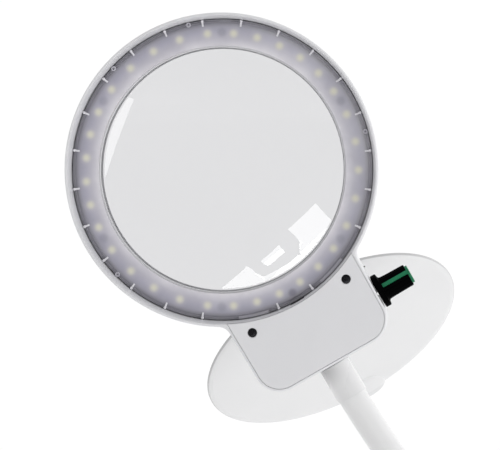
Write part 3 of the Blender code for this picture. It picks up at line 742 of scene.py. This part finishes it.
def build_shell():
    """The one-piece housing: ring trough, lens seat, handle box and its screw posts."""
    floor = -HEAD_DEPTH + WALL
    rim = RIM_INNER_R
    edge = [(rim + 0.6, 1), (rim + 0.6, 0), (rim + 0.4, -0.1)]
    edge += [(rim + 0.25, -0.4), (rim, -1.2), (rim - 0.3, -2.4)]
    seat = [
        (CHANNEL_R[1] + 0.4, -4.0), (CHANNEL_R[1] + 0.15, -6.0), (CHANNEL_R[1], -9.0),
        (CHANNEL_R[1], floor), (CHANNEL_R[0], floor), (CHANNEL_R[0], COLLAR_TOP_Z),
        (LENS_R + 0.5, COLLAR_TOP_Z), (LENS_R + 0.5, LENS_SEAT_Z), (LENS_SEAT_R, LENS_SEAT_Z),
    ]
    back = [(LENS_SEAT_R, -21.0), (LENS_SEAT_R + 0.3, -21.7)]
    back += [(LENS_SEAT_R + 1.0, -22.0), (LENS_SEAT_R + 1.0, -23)]
    trough = revolve([(0, 1)] + edge + seat + back + [(0, -23)], 240)
    board_screws = [polar(BOARD_SCREW_R, angle) for angle in BOARD_SCREW_ANGLES]
    posts = discs_at(both_sides(*COVER_SCREW), 3.0, floor - 1, -2.2, 24)
    posts += discs_at(both_sides(*HINGE_SCREW), 3.0, floor - 1, -13, 24)
    posts += discs_at(board_screws, 2.2, floor - 1, BOARD_BACK_Z - GAP, 16)
    pilots = discs_at(both_sides(*COVER_SCREW), 1.5, floor + 1, 2, 16)
    pilots += discs_at(both_sides(*HINGE_SCREW), 1.3, -25, -15, 16)
    pilots += discs_at(board_screws, 1.3, -19.3, 0, 12)
    holes = [
        box((-4, -79, -18.5), (4, -73, -4.5)),
        turned(disc(4.5, 30, 40, 40), at(0, DIMMER_Y, HANDLE_MID_Z) @ about("Y", 90)),
        turned(disc(5.3, 105, 115, 40), at(0, 0, HANDLE_MID_Z) @ about("X", 90)),
    ]
    body = carve(
        slab(shell_outline(), -HEAD_DEPTH, 0, 2.2, 1.0, 8),
        [
            (CUT, trough),
            (CUT, slab(handle_pocket(WALL + 0.1, SHELL_R), floor, 1)),
            (CUT, slab(handle_pocket(PLATE_INSET - GAP, PLATE_ARC_R - GAP), -2.2, 1)),
            (JOIN, merge(posts)),
            (CUT, merge(pilots)),
            (CUT, merge(holes)),
        ],
    )
    piece("head_housing", body, HEAD, WHITE, "head", ["head_shell"], 30)


def build_plate():
    """The handle's cover plate with its two screw recesses, and the screws."""
    shape = slab(handle_pocket(PLATE_INSET - 0.14, PLATE_ARC_R - 0.14), -PLATE_THICKNESS, 0, 0, 0.22, 4)
    recess = [(0, -1.2), (2.35, -1.2), (2.35, -0.3), (2.45, -0.1), (2.7, 0.0), (2.7, 1), (0, 1)]
    steps = []
    for spot in both_sides(*COVER_SCREW):
        steps.append((CUT, moved(revolve(recess, 48), spot)))
        steps.append((CUT, moved(disc(1.6, -3, 0, 24), spot)))
    body = carve(shape, steps)
    piece("handle_plate", body, HEAD, WHITE, "head", ["handle_cover"], 30)
    profile = [(0, -11), (1.2, -11), (1.2, -0.9), (2.2, -0.9)]
    profile += [(2.2, -0.35), (1.95, -0.08), (1.5, 0.0), (0, 0.05)]
    for (x, y, z), name, turn in zip(both_sides(*COVER_SCREW), ("left", "right"), (52, 17)):
        screw = cross_screw(revolve(profile, 40), 1.45, 0.32, 0.7, turn)
        node = f"handle_cover_screw_{name}"
        piece(f"plate_screw_{name}", screw, HEAD @ at(x, y, z - 0.1), SCREW, "head", [node])


def cross_screw(shape, reach, half, depth, turn):
    """Cuts a tapered cross recess into a screw's head at z = 0."""
    steps = []
    for angle in (turn, turn + 90):
        blade = box((-reach, -half, -depth), (reach, half, 1))
        for vert in blade.verts:
            if vert.co.z < 0:
                vert.co.x *= 0.55
                vert.co.y *= 0.7
        steps.append((CUT, moved(blade, (0, 0, 0), angle)))
    return carve(shape, steps)


def build_diffuser():
    """The frosted ring with its skirt, ribs, pins and clips."""
    inner, outer = DIFFUSER_R
    low, high = DIFFUSER_Z
    profile = [
        (inner, high - 0.25), (inner, COLLAR_TOP_Z + 0.1), (inner + 1.1, COLLAR_TOP_Z + 0.1),
        (inner + 1.1, low), (outer - 1.2, low), (outer - 1.2, -12.0), (outer, -12.0),
        (outer, -9.6), (outer + 1.1, -9.6), (outer + 1.1, -9.0), (outer, -9.0),
        (outer, high - 0.85), (outer - 0.1, high - 0.7), (outer - 0.9, high - 0.12),
        (outer - 1.15, high), (inner + 0.25, high),
    ]
    ring = revolve(profile, 240)
    clips = []
    for side in (-1, 1):
        span = [(side * angle) - 90 for angle in (11.5, 23.5)]
        wide = arc((0, 0), outer - 0.5, span[0], span[1], 16) + arc((0, 0), 75.0, span[1], span[0], 16)
        clips.append(slab(wide, -10.0, high - 0.3, 0, 0.25, 3))
    body = carve(ring, [(JOIN, merge(clips))])
    piece("light_diffuser", body, HEAD, FROSTED, "head", ["diffuser_ring"], 30)
    ribs = []
    for angle in RIB_ANGLES:
        outline = arc((0, -0.7), 0.52, 180, 360, 8) + [(0.45, 2.0), (-0.45, 2.0)]
        rib = slab(outline, -9.8, high + 0.45, 0, 0.2, 3)
        knob = bmesh.new()
        bmesh.ops.create_uvsphere(knob, u_segments=16, v_segments=10, radius=0.75)
        bmesh.ops.translate(knob, vec=(0, -0.75, high + 0.12), verts=knob.verts)
        ribs.append(moved(rib, polar(outer - 0.1, angle), angle))
        ribs.append(moved(knob, polar(outer - 0.1, angle), angle))
    pin = [(0, high - 0.6), (0.5, high - 0.6), (0.5, high + 0.2), (0.62, high + 0.34)]
    pin += [(1.1, high + 0.34), (1.25, high + 0.2), (1.25, -9.8), (0, -9.8)]
    pins = [moved(revolve(pin, 28), polar(outer + 0.1, angle)) for angle in PIN_ANGLES]
    piece("diffuser_ribs", merge(ribs), HEAD, RIB, "head", [], 40)
    piece("diffuser_pins", merge(pins), HEAD, PIN, "head", [], 40)


def hoop(inner, outer, low, high):
    """A ring with softened edges."""
    return revolve(rounded([(inner, low), (outer, low), (outer, high), (inner, high)], 0.3), 200)


def build_lens():
    """The double-curved lens and the rings that hold it."""
    curve_r = (LENS_R**2 + LENS_SAG**2) / (2 * LENS_SAG)
    front = []
    for i in range(29):
        r = LENS_R * i / 28
        front.append((r, LENS_EDGE / 2 + LENS_SAG - (curve_r - math.sqrt(curve_r**2 - r**2))))
    profile = front + [(r, -z) for r, z in reversed(front)]
    middle = LENS_EDGE / 2 + LENS_SAG - curve_r
    tilt = at(0, 0, middle) @ about("Y", SPOT_TURN[1]) @ about("X", SPOT_TURN[0])
    rise = math.sqrt(curve_r**2 - SPOT_R**2) - math.sqrt(SPOT_CURVE_R**2 - SPOT_R**2)
    reach = math.degrees(math.asin(SPOT_R / SPOT_CURVE_R))
    dome = [(r, rise + z) for r, z in arc((0, 0), SPOT_CURVE_R, 90, 87 - reach, 26)]
    cap = turned(revolve([(0, dome[0][1])] + dome[1:] + [(0, dome[-1][1])], 120), tilt)
    limit = disc(SPOT_LIMIT_R, -5, 20, 200)
    spot = carve(cap, [("INTERSECT", limit)])
    shape = carve(revolve(profile, 160), [(JOIN, spot)])
    centre = HEAD @ at(0, 0, LENS_MID_Z)
    lens = piece("magnifier_lens", shape, centre, GLASS, "head", ["lens"], 20)
    lens.modifiers.clear()
    back = LENS_MID_Z - LENS_EDGE / 2
    ahead = LENS_MID_Z + LENS_EDGE / 2
    ring = hoop(61.0, 63.7, ahead + 0.6, COLLAR_TOP_Z - 0.6)
    piece("lens_ring", ring, HEAD, WHITE, "head", ["lens_retaining_ring"])
    seal = hoop(60.8, LENS_R, LENS_SEAT_Z + GAP, back - 0.6)
    piece("lens_seal", seal, HEAD, SEAL, "head", ["lens_seat_gasket"])


def build_hinge():
    """The cover's hinge bracket on the back of the handle."""
    near, far = HINGE_Y - 15.0, HINGE_Y - 2.9
    shape = box((-LUG_OUTER - 0.5, near, -24.2), (LUG_OUTER + 0.5, far, -HEAD_DEPTH - GAP), 0.35)
    axis = at(0, HINGE_Y, HINGE_Z) @ about("Y", 90)
    steps = []
    for side in (-1, 1):
        low, high = sorted((side * LUG_OUTER, side * (KNUCKLE_HALF + GAP)))
        foot = box((low + 0.1, far - 1.5, -24.5), (high - 0.1, HINGE_Y + 0.2, -HEAD_DEPTH - 0.35))
        lug = turned(disc(HINGE_R, low, high, 40, 0.3, 0.3), axis)
        steps += [(JOIN, foot), (JOIN, lug)]
    steps.append((CUT, turned(disc(PIN_R + GAP, -25, 25, 28), axis)))
    steps.append((CUT, merge(discs_at(both_sides(*HINGE_SCREW), 1.3, -26, -20, 24))))
    body = carve(shape, steps)
    piece("hinge_bracket", body, HEAD, WHITE, "head", ["cover_hinge_bracket"], 30)
    pin = revolve([(0, -20.5), (0.8, -20.5), (PIN_R, -20.1), (PIN_R, 20.1), (0.8, 20.5), (0, 20.5)], 32)
    piece("hinge_pin", pin, HEAD @ axis, STEEL, "head", ["cover_hinge_pin"])
    profile = [(0, -9.6), (1.0, -9.6), (1.0, -1.1), (2.0, -1.1)]
    profile += [(2.0, -0.5), (1.8, -0.2), (1.4, -0.02), (0, 0)]
    for (x, y, z), name, turn in zip(both_sides(*HINGE_SCREW), ("left", "right"), (65, 20)):
        screw = cross_screw(revolve(profile, 32), 1.2, 0.28, 0.5, turn)
        spot = HEAD @ at(x, y, z - 25.6) @ about("X", 180)
        piece(f"bracket_screw_{name}", screw, spot, STEEL, "head", [f"hinge_screw_{name}"])


def build_ferrule():
    """The neck's socket under the handle."""
    start = HANDLE_END + GAP
    end = start + FERRULE_LENGTH - GAP
    profile = [
        (3.0, 105.0), (5.0, 105.0), (5.0, start), (FERRULE_R, start), (FERRULE_R, end),
        (NECK_R + GAP, end), (NECK_R + GAP, 118.0), (3.0, 118.0),
    ]
    shape = revolve(rounded(profile, [0, 0, 0, 0.6, 0.5, 0, 0, 0]), 72)
    piece("ferrule", shape, SOCKET, SOCKET_PAINT_WITH_SHADE, "head", ["neck_ferrule"])


# --- Dimmer -----------------------------------------------------------------


def build_knob():
    """The fluted knob with its wide flange, and its green cap with the pointer line."""
    end = KNOB_START + KNOB_LENGTH
    flange = KNOB_START + KNOB_FLANGE
    outside = [
        (KNOB_R - 0.6, end), (KNOB_R - 0.25, end - 0.12), (KNOB_R - 0.1, end - 0.5),
        (KNOB_R + 0.05, flange + 4.0), (KNOB_R + 0.2, flange + 1.4), (KNOB_R + 0.35, flange + 0.7),
        (KNOB_R + 0.9, flange + 0.2), (KNOB_FLANGE_R - 0.9, flange),
        (KNOB_FLANGE_R - 0.3, flange - 0.1), (KNOB_FLANGE_R, flange - 0.5),
        (KNOB_FLANGE_R, KNOB_START + 0.3), (KNOB_FLANGE_R - 0.3, KNOB_START),
    ]
    inside = [(6.9, KNOB_START), (6.9, 39.3), (3.2, 39.3), (3.2, 50.4), (0, 50.4)]

    def flutes(angle, z):
        """Eighteen shallow grooves along the grip."""
        if z < flange + 0.5 or z > end - 0.05:
            return 0.0
        return -0.32 * max(0.0, math.cos(18 * angle)) ** 3

    shape = revolve([(0, end)] + outside + inside, 216, flutes)
    steps = [
        (CUT, disc(4.9, end - 1.4, end + 1, 48)),
        (CUT, box((-1.2, 4.2, flange + 0.2), (1.2, 9.0, end + 1))),
        (CUT, box((-1.2, 0.0, end - 1.4), (1.2, 6.0, end + 1))),
    ]
    piece("knob", carve(shape, steps), KNOB, BLACK, "dimmer", ["dimmer_knob"], 40)
    cap = disc(4.65, end - 1.1, end + 1.2, 48, 0, 0.3)
    bar = box((-0.95, 4.5, flange + 0.5), (0.95, 6.0, end - 0.2))
    bridge = box((-0.95, 2.0, end - 1.1), (0.95, 5.9, end + 0.4))
    pointer = carve(cap, [(JOIN, bridge), (JOIN, bar)])
    piece("knob_pointer", pointer, KNOB, GREEN, "dimmer", ["dimmer_pointer"])


# --- Cover ------------------------------------------------------------------


def build_cover():
    """The flip-up disc with its bevelled edge, finger tab and hinge knuckle."""
    half = COVER_THICKNESS / 2
    middle = COVER_R + COVER_OFFSET
    profile = [
        (0, half), (COVER_R - 0.4, half), (COVER_R - 0.1, half - 0.1), (COVER_R, half - 0.35),
        (COVER_R, -0.05), (COVER_R - 0.12, -0.35), (COVER_R - 0.45, -0.54),
        (COVER_R - 2.6, -half + 0.02), (COVER_R - 2.9, -half), (0, -half),
    ]
    shape = moved(revolve(profile, 220), (0, middle, 0))
    tab = [
        (0, half - 0.1), (10.6, half - 0.1), (11.0, half - 0.5), (11.0, -half),
        (10.7, -half - 0.35), (9.6, -half - 0.85), (7.2, -half - 1.12), (4.0, -half - 1.26),
        (0, -half - 1.3),
    ]
    web = box((-KNUCKLE_HALF + 0.2, 0.3, -0.7), (KNUCKLE_HALF - 0.2, COVER_OFFSET + 4, 0.6))
    knuckle = turned(disc(HINGE_R, -KNUCKLE_HALF, KNUCKLE_HALF, 40, 0.3, 0.3), about("Y", 90))
    body = carve(
        shape,
        [
            (JOIN, moved(revolve(tab, 96), (0, middle + 66.6, 0))),
            (JOIN, web),
            (JOIN, knuckle),
            (CUT, turned(disc(PIN_R + GAP, -30, 30, 28), about("Y", 90))),
            (CUT, merge(discs_at(both_sides(*COVER_HOLE), COVER_HOLE_R, -3, 3, 32))),
        ],
    )
    piece("flip_cover", body, COVER, COVER_WHITE, "cover", ["lens_cover"], 30)
    # Painted shade: dark discs set inside the cover's holes stand in for the shade in them.
    hole_shade_discs = discs_at(both_sides(*COVER_HOLE), COVER_HOLE_R, -0.6, 0.6, 32, 0.2, 0.2)
    piece("cover_hole_shade", merge(hole_shade_discs), COVER, HOLE_SHADE, "cover", [])


# --- Neck -------------------------------------------------------------------


def neck_line(index, samples=24):
    """Centreline points of the neck's run across bend number index, and where its bending starts and ends."""
    joint = NECK_POINTS[index]
    if index == 0:
        lower = joint - Vector((0, 0, BEND_BELOW))
    else:
        lower = (NECK_POINTS[index - 1] + joint) / 2
    if index == 5:
        upper = joint + HEAD.to_3x3() @ Vector((0, BEND_ABOVE, 0))
    else:
        upper = (joint + NECK_POINTS[index + 1]) / 2
    line = []
    for k in range(samples + 1):
        t = k / samples
        line.append(lower * (1 - t) ** 2 + joint * 2 * t * (1 - t) + upper * t**2)
    if index == 0:
        line = [Vector((NECK_X, 0, NECK_FOOT_Z)), Vector((NECK_X, 0, 36))] + line
    if index == 5:
        up = HEAD.to_3x3() @ Vector((0, 1, 0))
        line = line + [upper + up * 5, upper + up * NECK_TOP]
    return line, lower, upper


def sweep(line, radius, sides):
    """Rings of points round a line that lies in the y = 0 plane."""
    rings = []
    for i, here in enumerate(line):
        before = line[max(0, i - 1)]
        after = line[min(len(line) - 1, i + 1)]
        along = (after - before).normalized()
        side = Vector((0, 1, 0))
        other = along.cross(side)
        ring = []
        for k in range(sides):
            a = 2 * math.pi * k / sides
            ring.append(here + radius * (math.cos(a) * side + math.sin(a) * other))
        rings.append(ring)
    return rings


def tube_along(line, bore, radius, sides):
    """A pipe along a line; without a bore it is solid."""
    outer = sweep(line, radius, sides)
    if not bore:
        return skin(outer, False)
    return skin(outer + list(reversed(sweep(line, bore, sides))), True)


def smooth_route(points, parts):
    """Catmull-Rom points through a route."""
    ends = [2 * points[0] - points[1]] + points + [2 * points[-1] - points[-2]]
    made = []
    for a, b, c, d in zip(ends, ends[1:], ends[2:], ends[3:]):
        for i in range(parts):
            t = i / parts
            bend = (2 * a - 5 * b + 4 * c - d) * t**2 + (3 * b - a - 3 * c + d) * t**3
            made.append(0.5 * (2 * b + (c - a) * t + bend))
    return made + [points[-1]]


def build_neck():
    """The neck's sleeve, core and lead, in runs that each bend across one joint."""
    ends = ["base", "1", "2", "3", "4", "5", "head"]
    for index in range(6):
        line, lower, upper = neck_line(index)
        stands_for = [ends[index]] + (["head"] if index == 5 else [])
        runs = [
            ("neck_sleeve", tube_along(line, NECK_BORE_R, NECK_R, 56), VINYL, "neck_vinyl"),
            ("neck_core", tube_along(line, *CORE_R, 24), STEEL, "zinc_steel"),
        ]
        lead_line = line
        if index == 0:
            in_base = ((80.3, INLET_Z), (74.0, 11.6), (68.2, 12.2), (64.0, 14.6), (62.2, 19.0))
            start = [Vector((x, 0, z)) for x, z in in_base]
            lead_line = smooth_route(start + [line[0]], 5) + line[1:]
        if index == 5:
            reach = [HEAD @ Vector((0, -y, HANDLE_MID_Z)) for y in (116.0, 108.5, 102.3)]
            lead_line = line + reach
        runs.append(("neck_lead", tube_along(lead_line, 0, LEAD_R, 14), LEAD, "lead_vinyl"))
        for name, shape, finish, slot_name in runs:
            made = place(f"{name}_bend_{index + 1}", shape, Matrix.Identity(4), finish, 40)
            made.modifiers.clear()
            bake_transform(made)
            if name != "neck_lead":
                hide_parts(*[f"{name}_{end}" for end in stands_for])
            elif index == 0:
                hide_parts("power_lead")


# --- Base -------------------------------------------------------------------


def build_base():
    """The round foot's cover, pad and sockets."""
    inner = BASE_R - WALL
    roof = BASE_HEIGHT - WALL - 0.2
    outside = [(0, BASE_HEIGHT)] + arc((85.0, 14.0), 10.0, 90, 0, 24)
    outside += [(BASE_R, 1.6), (BASE_R - 0.4, 1.2)]
    inside = [(inner, 1.2)] + arc((85.0, roof - 8.0), 8.0, 0, 90, 12) + [(0, roof)]
    screws = [(x, y, 0) for x, y in arc((0, 0), POST_R, *POST_ANGLES, 2)]
    posts = discs_at(screws, 4.0, 3.6, roof + 0.5, 24)
    pilots = discs_at(screws, 1.6, 2, 14, 16)
    body = carve(
        revolve(outside + inside, 200),
        [
            (JOIN, merge(posts)),
            (CUT, merge(pilots)),
            (CUT, moved(disc(8.1, 18, 30, 48), (NECK_X, 0, 0))),
            (CUT, turned(disc(4.7, 88, 100, 40), INLET)),
        ],
    )
    piece("base_housing", body, BASE, WHITE, "base", ["base_cover"], 30)
    low = BASE_HEIGHT + GAP
    high = low + COLLAR_HEIGHT
    profile = [
        (4.5, 16.8), (7.8, 16.8), (7.8, low), (15.0, low), (15.0, low + 2.0), (13.8, low + 3.2),
        (10.0, low + 4.0), (9.2, high - 1.0), (8.6, high), (NECK_R + GAP, high),
        (NECK_R + GAP, 29.0), (4.5, 29.0),
    ]
    shape = revolve(rounded(profile, [0, 0, 0, 0.2, 0.8, 0.9, 1.6, 0.8, 0.4, 0.1, 0, 0], 6), 72)
    piece("neck_collar", shape, at(NECK_X, 0, 0), PAINT, "base", ["neck_base_collar"])
    holes = merge(discs_at(screws, 4.0, -1, 3, 32))
    pad = carve(disc(90.5, 0, 1.8, 160, 0.3, 0.3), [(CUT, holes)])
    piece("foot_pad", pad, BASE, FOAM, "base", ["base_pad"])
    socket = [
        (0, 80.6), (4.4, 80.6), (4.4, 95.3), (5.8, 95.3), (5.8, 96.6), (2.8, 96.6), (2.8, 86.0),
        (1.0, 86.0), (1.0, 95.0), (0, 95.0),
    ]
    shape = revolve(rounded(socket, [0, 0, 0, 0, 0.4, 0.3, 0, 0, 0.3, 0], 4), 48)
    piece("power_socket", shape, INLET, BLACK, "base", ["power_inlet"])


def finish_cad():
    """Materials for the CAD nodes that stay."""
    steel = ["driver_capacitor", "dimmer_potentiometer", "dimmer_nut", "dimmer_shaft", "neck_ferrule_nut"]
    steel += ["base_plate", "neck_base_nut", "power_inlet_nut"] + [f"base_screw_{i}" for i in range(1, 4)]
    looks = {
        "led_ring_board": BOARD_WHITE,
        "driver_board": BOARD_GREEN,
        "driver_coil": BLACK,
        "led_lead": LEAD,
        "base_weight": IRON,
    }
    looks.update({name: STEEL for name in steel})
    looks.update({f"led_board_screw_{i}": SCREW for i in range(1, 7)})
    for name, finish in looks.items():
        for slot in NODES[name].material_slots:
            slot.material = finish


# --- Stage ------------------------------------------------------------------

CAMERA_AZIMUTH = 3.43
CAMERA_ELEVATION = 1.98
CAMERA_DISTANCE = 1300.0
CAMERA_SHIFT = (14.47, -27.2)  # millimetres from the head's centre to the middle of the picture
FOCAL = 189.0
SURROUND = 1.135
SURROUND_FRONT = 0.55
SURROUND_TILT = 0.42
SURROUND_RISE = -0.2
SURROUND_SEEN = 1.02
PANEL_REACH = 1200.0


def camera_axes():
    """The camera's right, up and back directions."""
    a = math.radians(CAMERA_AZIMUTH)
    e = math.radians(CAMERA_ELEVATION)
    back = Vector((math.sin(a) * math.cos(e), -math.cos(a) * math.cos(e), math.sin(e)))
    right = (-back).cross(Vector((0, 0, 1))).normalized()
    return right, right.cross(-back), back


def build_camera():
    """The photograph's view."""
    right, up, back = camera_axes()
    target = HEAD.translation + right * CAMERA_SHIFT[0] + up * CAMERA_SHIFT[1]
    data = bpy.data.cameras.new("camera")
    data.lens = FOCAL
    data.sensor_width = 36.0
    data.clip_start = 0.05
    data.clip_end = 30.0
    made = linked("camera", data)
    turn = Matrix((right, up, back)).transposed().to_4x4()
    made.matrix_world = Matrix.Translation((target + back * CAMERA_DISTANCE) * MM) @ turn
    bpy.context.scene.camera = made


def build_world():
    """A white surround, dimmer where the lighted face looks and brighter on the right."""
    world = bpy.data.worlds.new("surround")
    bpy.context.scene.world = world
    world.use_nodes = True
    world.node_tree.nodes.clear()
    g = Graph(world.node_tree)
    direction = g.node("ShaderNodeTexCoord").outputs["Generated"]

    def along(axis, low, start, end):
        """Strength against how far a direction points along an axis."""
        return g.span(g.dot(direction, axis), low, 1.0, start, end, smooth=True)

    front = along((0, -1, 0), 0.0, SURROUND, SURROUND_FRONT)
    tilt = along((1, 0, 0), -1.0, -0.5 * SURROUND_TILT, 0.5 * SURROUND_TILT)
    rise = along((0, 0, 1), -1.0, -0.5 * SURROUND_RISE, 0.5 * SURROUND_RISE)
    lit = g.node("ShaderNodeBackground")
    seen = g.node("ShaderNodeBackground")
    for shade, strength in ((lit, g.math("ADD", g.math("ADD", front, tilt), rise)), (seen, SURROUND_SEEN)):
        shade.inputs["Color"].default_value = (1, 1, 1, 1)
        g.feed(shade.inputs["Strength"], strength)
    ray = g.node("ShaderNodeLightPath").outputs
    mix = g.node("ShaderNodeMixShader")
    g.feed(mix.inputs[0], g.math("MAXIMUM", ray["Is Camera Ray"], ray["Is Transmission Ray"]))
    g.feed(mix.inputs[1], lit.outputs[0])
    g.feed(mix.inputs[2], seen.outputs[0])
    g.feed(g.node("ShaderNodeOutputWorld").inputs["Surface"], mix.outputs[0])


def build_floor():
    """A plain pale floor round the base."""
    m = Nodes("stage_floor")
    far = m.node("ShaderNodeVectorMath", operation="LENGTH")
    m.feed(far.inputs[0], m.coordinates)
    m.put(Base_Color=(0.93, 0.93, 0.93, 1.0), Roughness=0.6)
    fade = m.span(far.outputs["Value"], 0.5, 1.5, 0.0, 1.0, smooth=True)
    m.put(Emission_Color=(1.0, 1.0, 1.0, 1.0))
    m.put(Emission_Strength=m.times(fade, 0.35))
    shape = bmesh.new()
    bmesh.ops.create_circle(shape, cap_ends=True, segments=96, radius=1700.0)
    bmesh.ops.translate(shape, vec=(0, 0, -0.2), verts=shape.verts)
    floor = place("floor", shape, Matrix.Identity(4), m.material)
    floor.modifiers.clear()
    floor.visible_glossy = False


def panel(name, degrees, span, run, strength, lights_scene):
    """A soft panel beside the camera, over span in one direction and over run across it."""
    right, up, back = camera_axes()
    a = math.radians(degrees)
    side = right * math.cos(a) + up * math.sin(a)
    across = back.cross(side)
    middle = HEAD.translation + back * PANEL_REACH + side * sum(span) / 2 + across * sum(run) / 2
    data = bpy.data.lights.new(name, "AREA")
    data.shape = "RECTANGLE"
    data.size = (span[1] - span[0]) * MM
    data.size_y = (run[1] - run[0]) * MM
    data.energy = strength * 4 * data.size * data.size_y
    made = linked(name, data)
    turn = Matrix((side, across, back)).transposed().to_4x4()
    made.matrix_world = Matrix.Translation(middle * MM) @ turn
    made.visible_camera = False
    made.visible_transmission = False
    made.visible_diffuse = lights_scene


def build_lights():
    """Soft panels that the lens mirrors, at the lower right and the left, and a lamp from the right."""
    panel("panel_right", -46.0, (330.0, 450.0), (-770.0, 41.0), 4.0, False)
    panel("panel_right_far", -46.0, (450.0, 640.0), (-770.0, 41.0), 7.0, False)
    panel("panel_left", 157.2, (648.0, 1300.0), (-26.0, 1100.0), 3.0, False)
    panel("lamp_right", -20.0, (1500.0, 2600.0), (-700.0, 700.0), 3.5, True)


def main():
    """Builds the looks and the stage."""
    build_shell()
    build_plate()
    build_diffuser()
    build_lens()
    build_hinge()
    build_ferrule()
    build_knob()
    build_cover()
    build_neck()
    build_base()
    finish_cad()
    build_camera()
    build_world()
    build_floor()
    build_lights()
    bpy.context.scene.view_settings.view_transform = "Standard"


main()
bpy.context.view_layer.update()
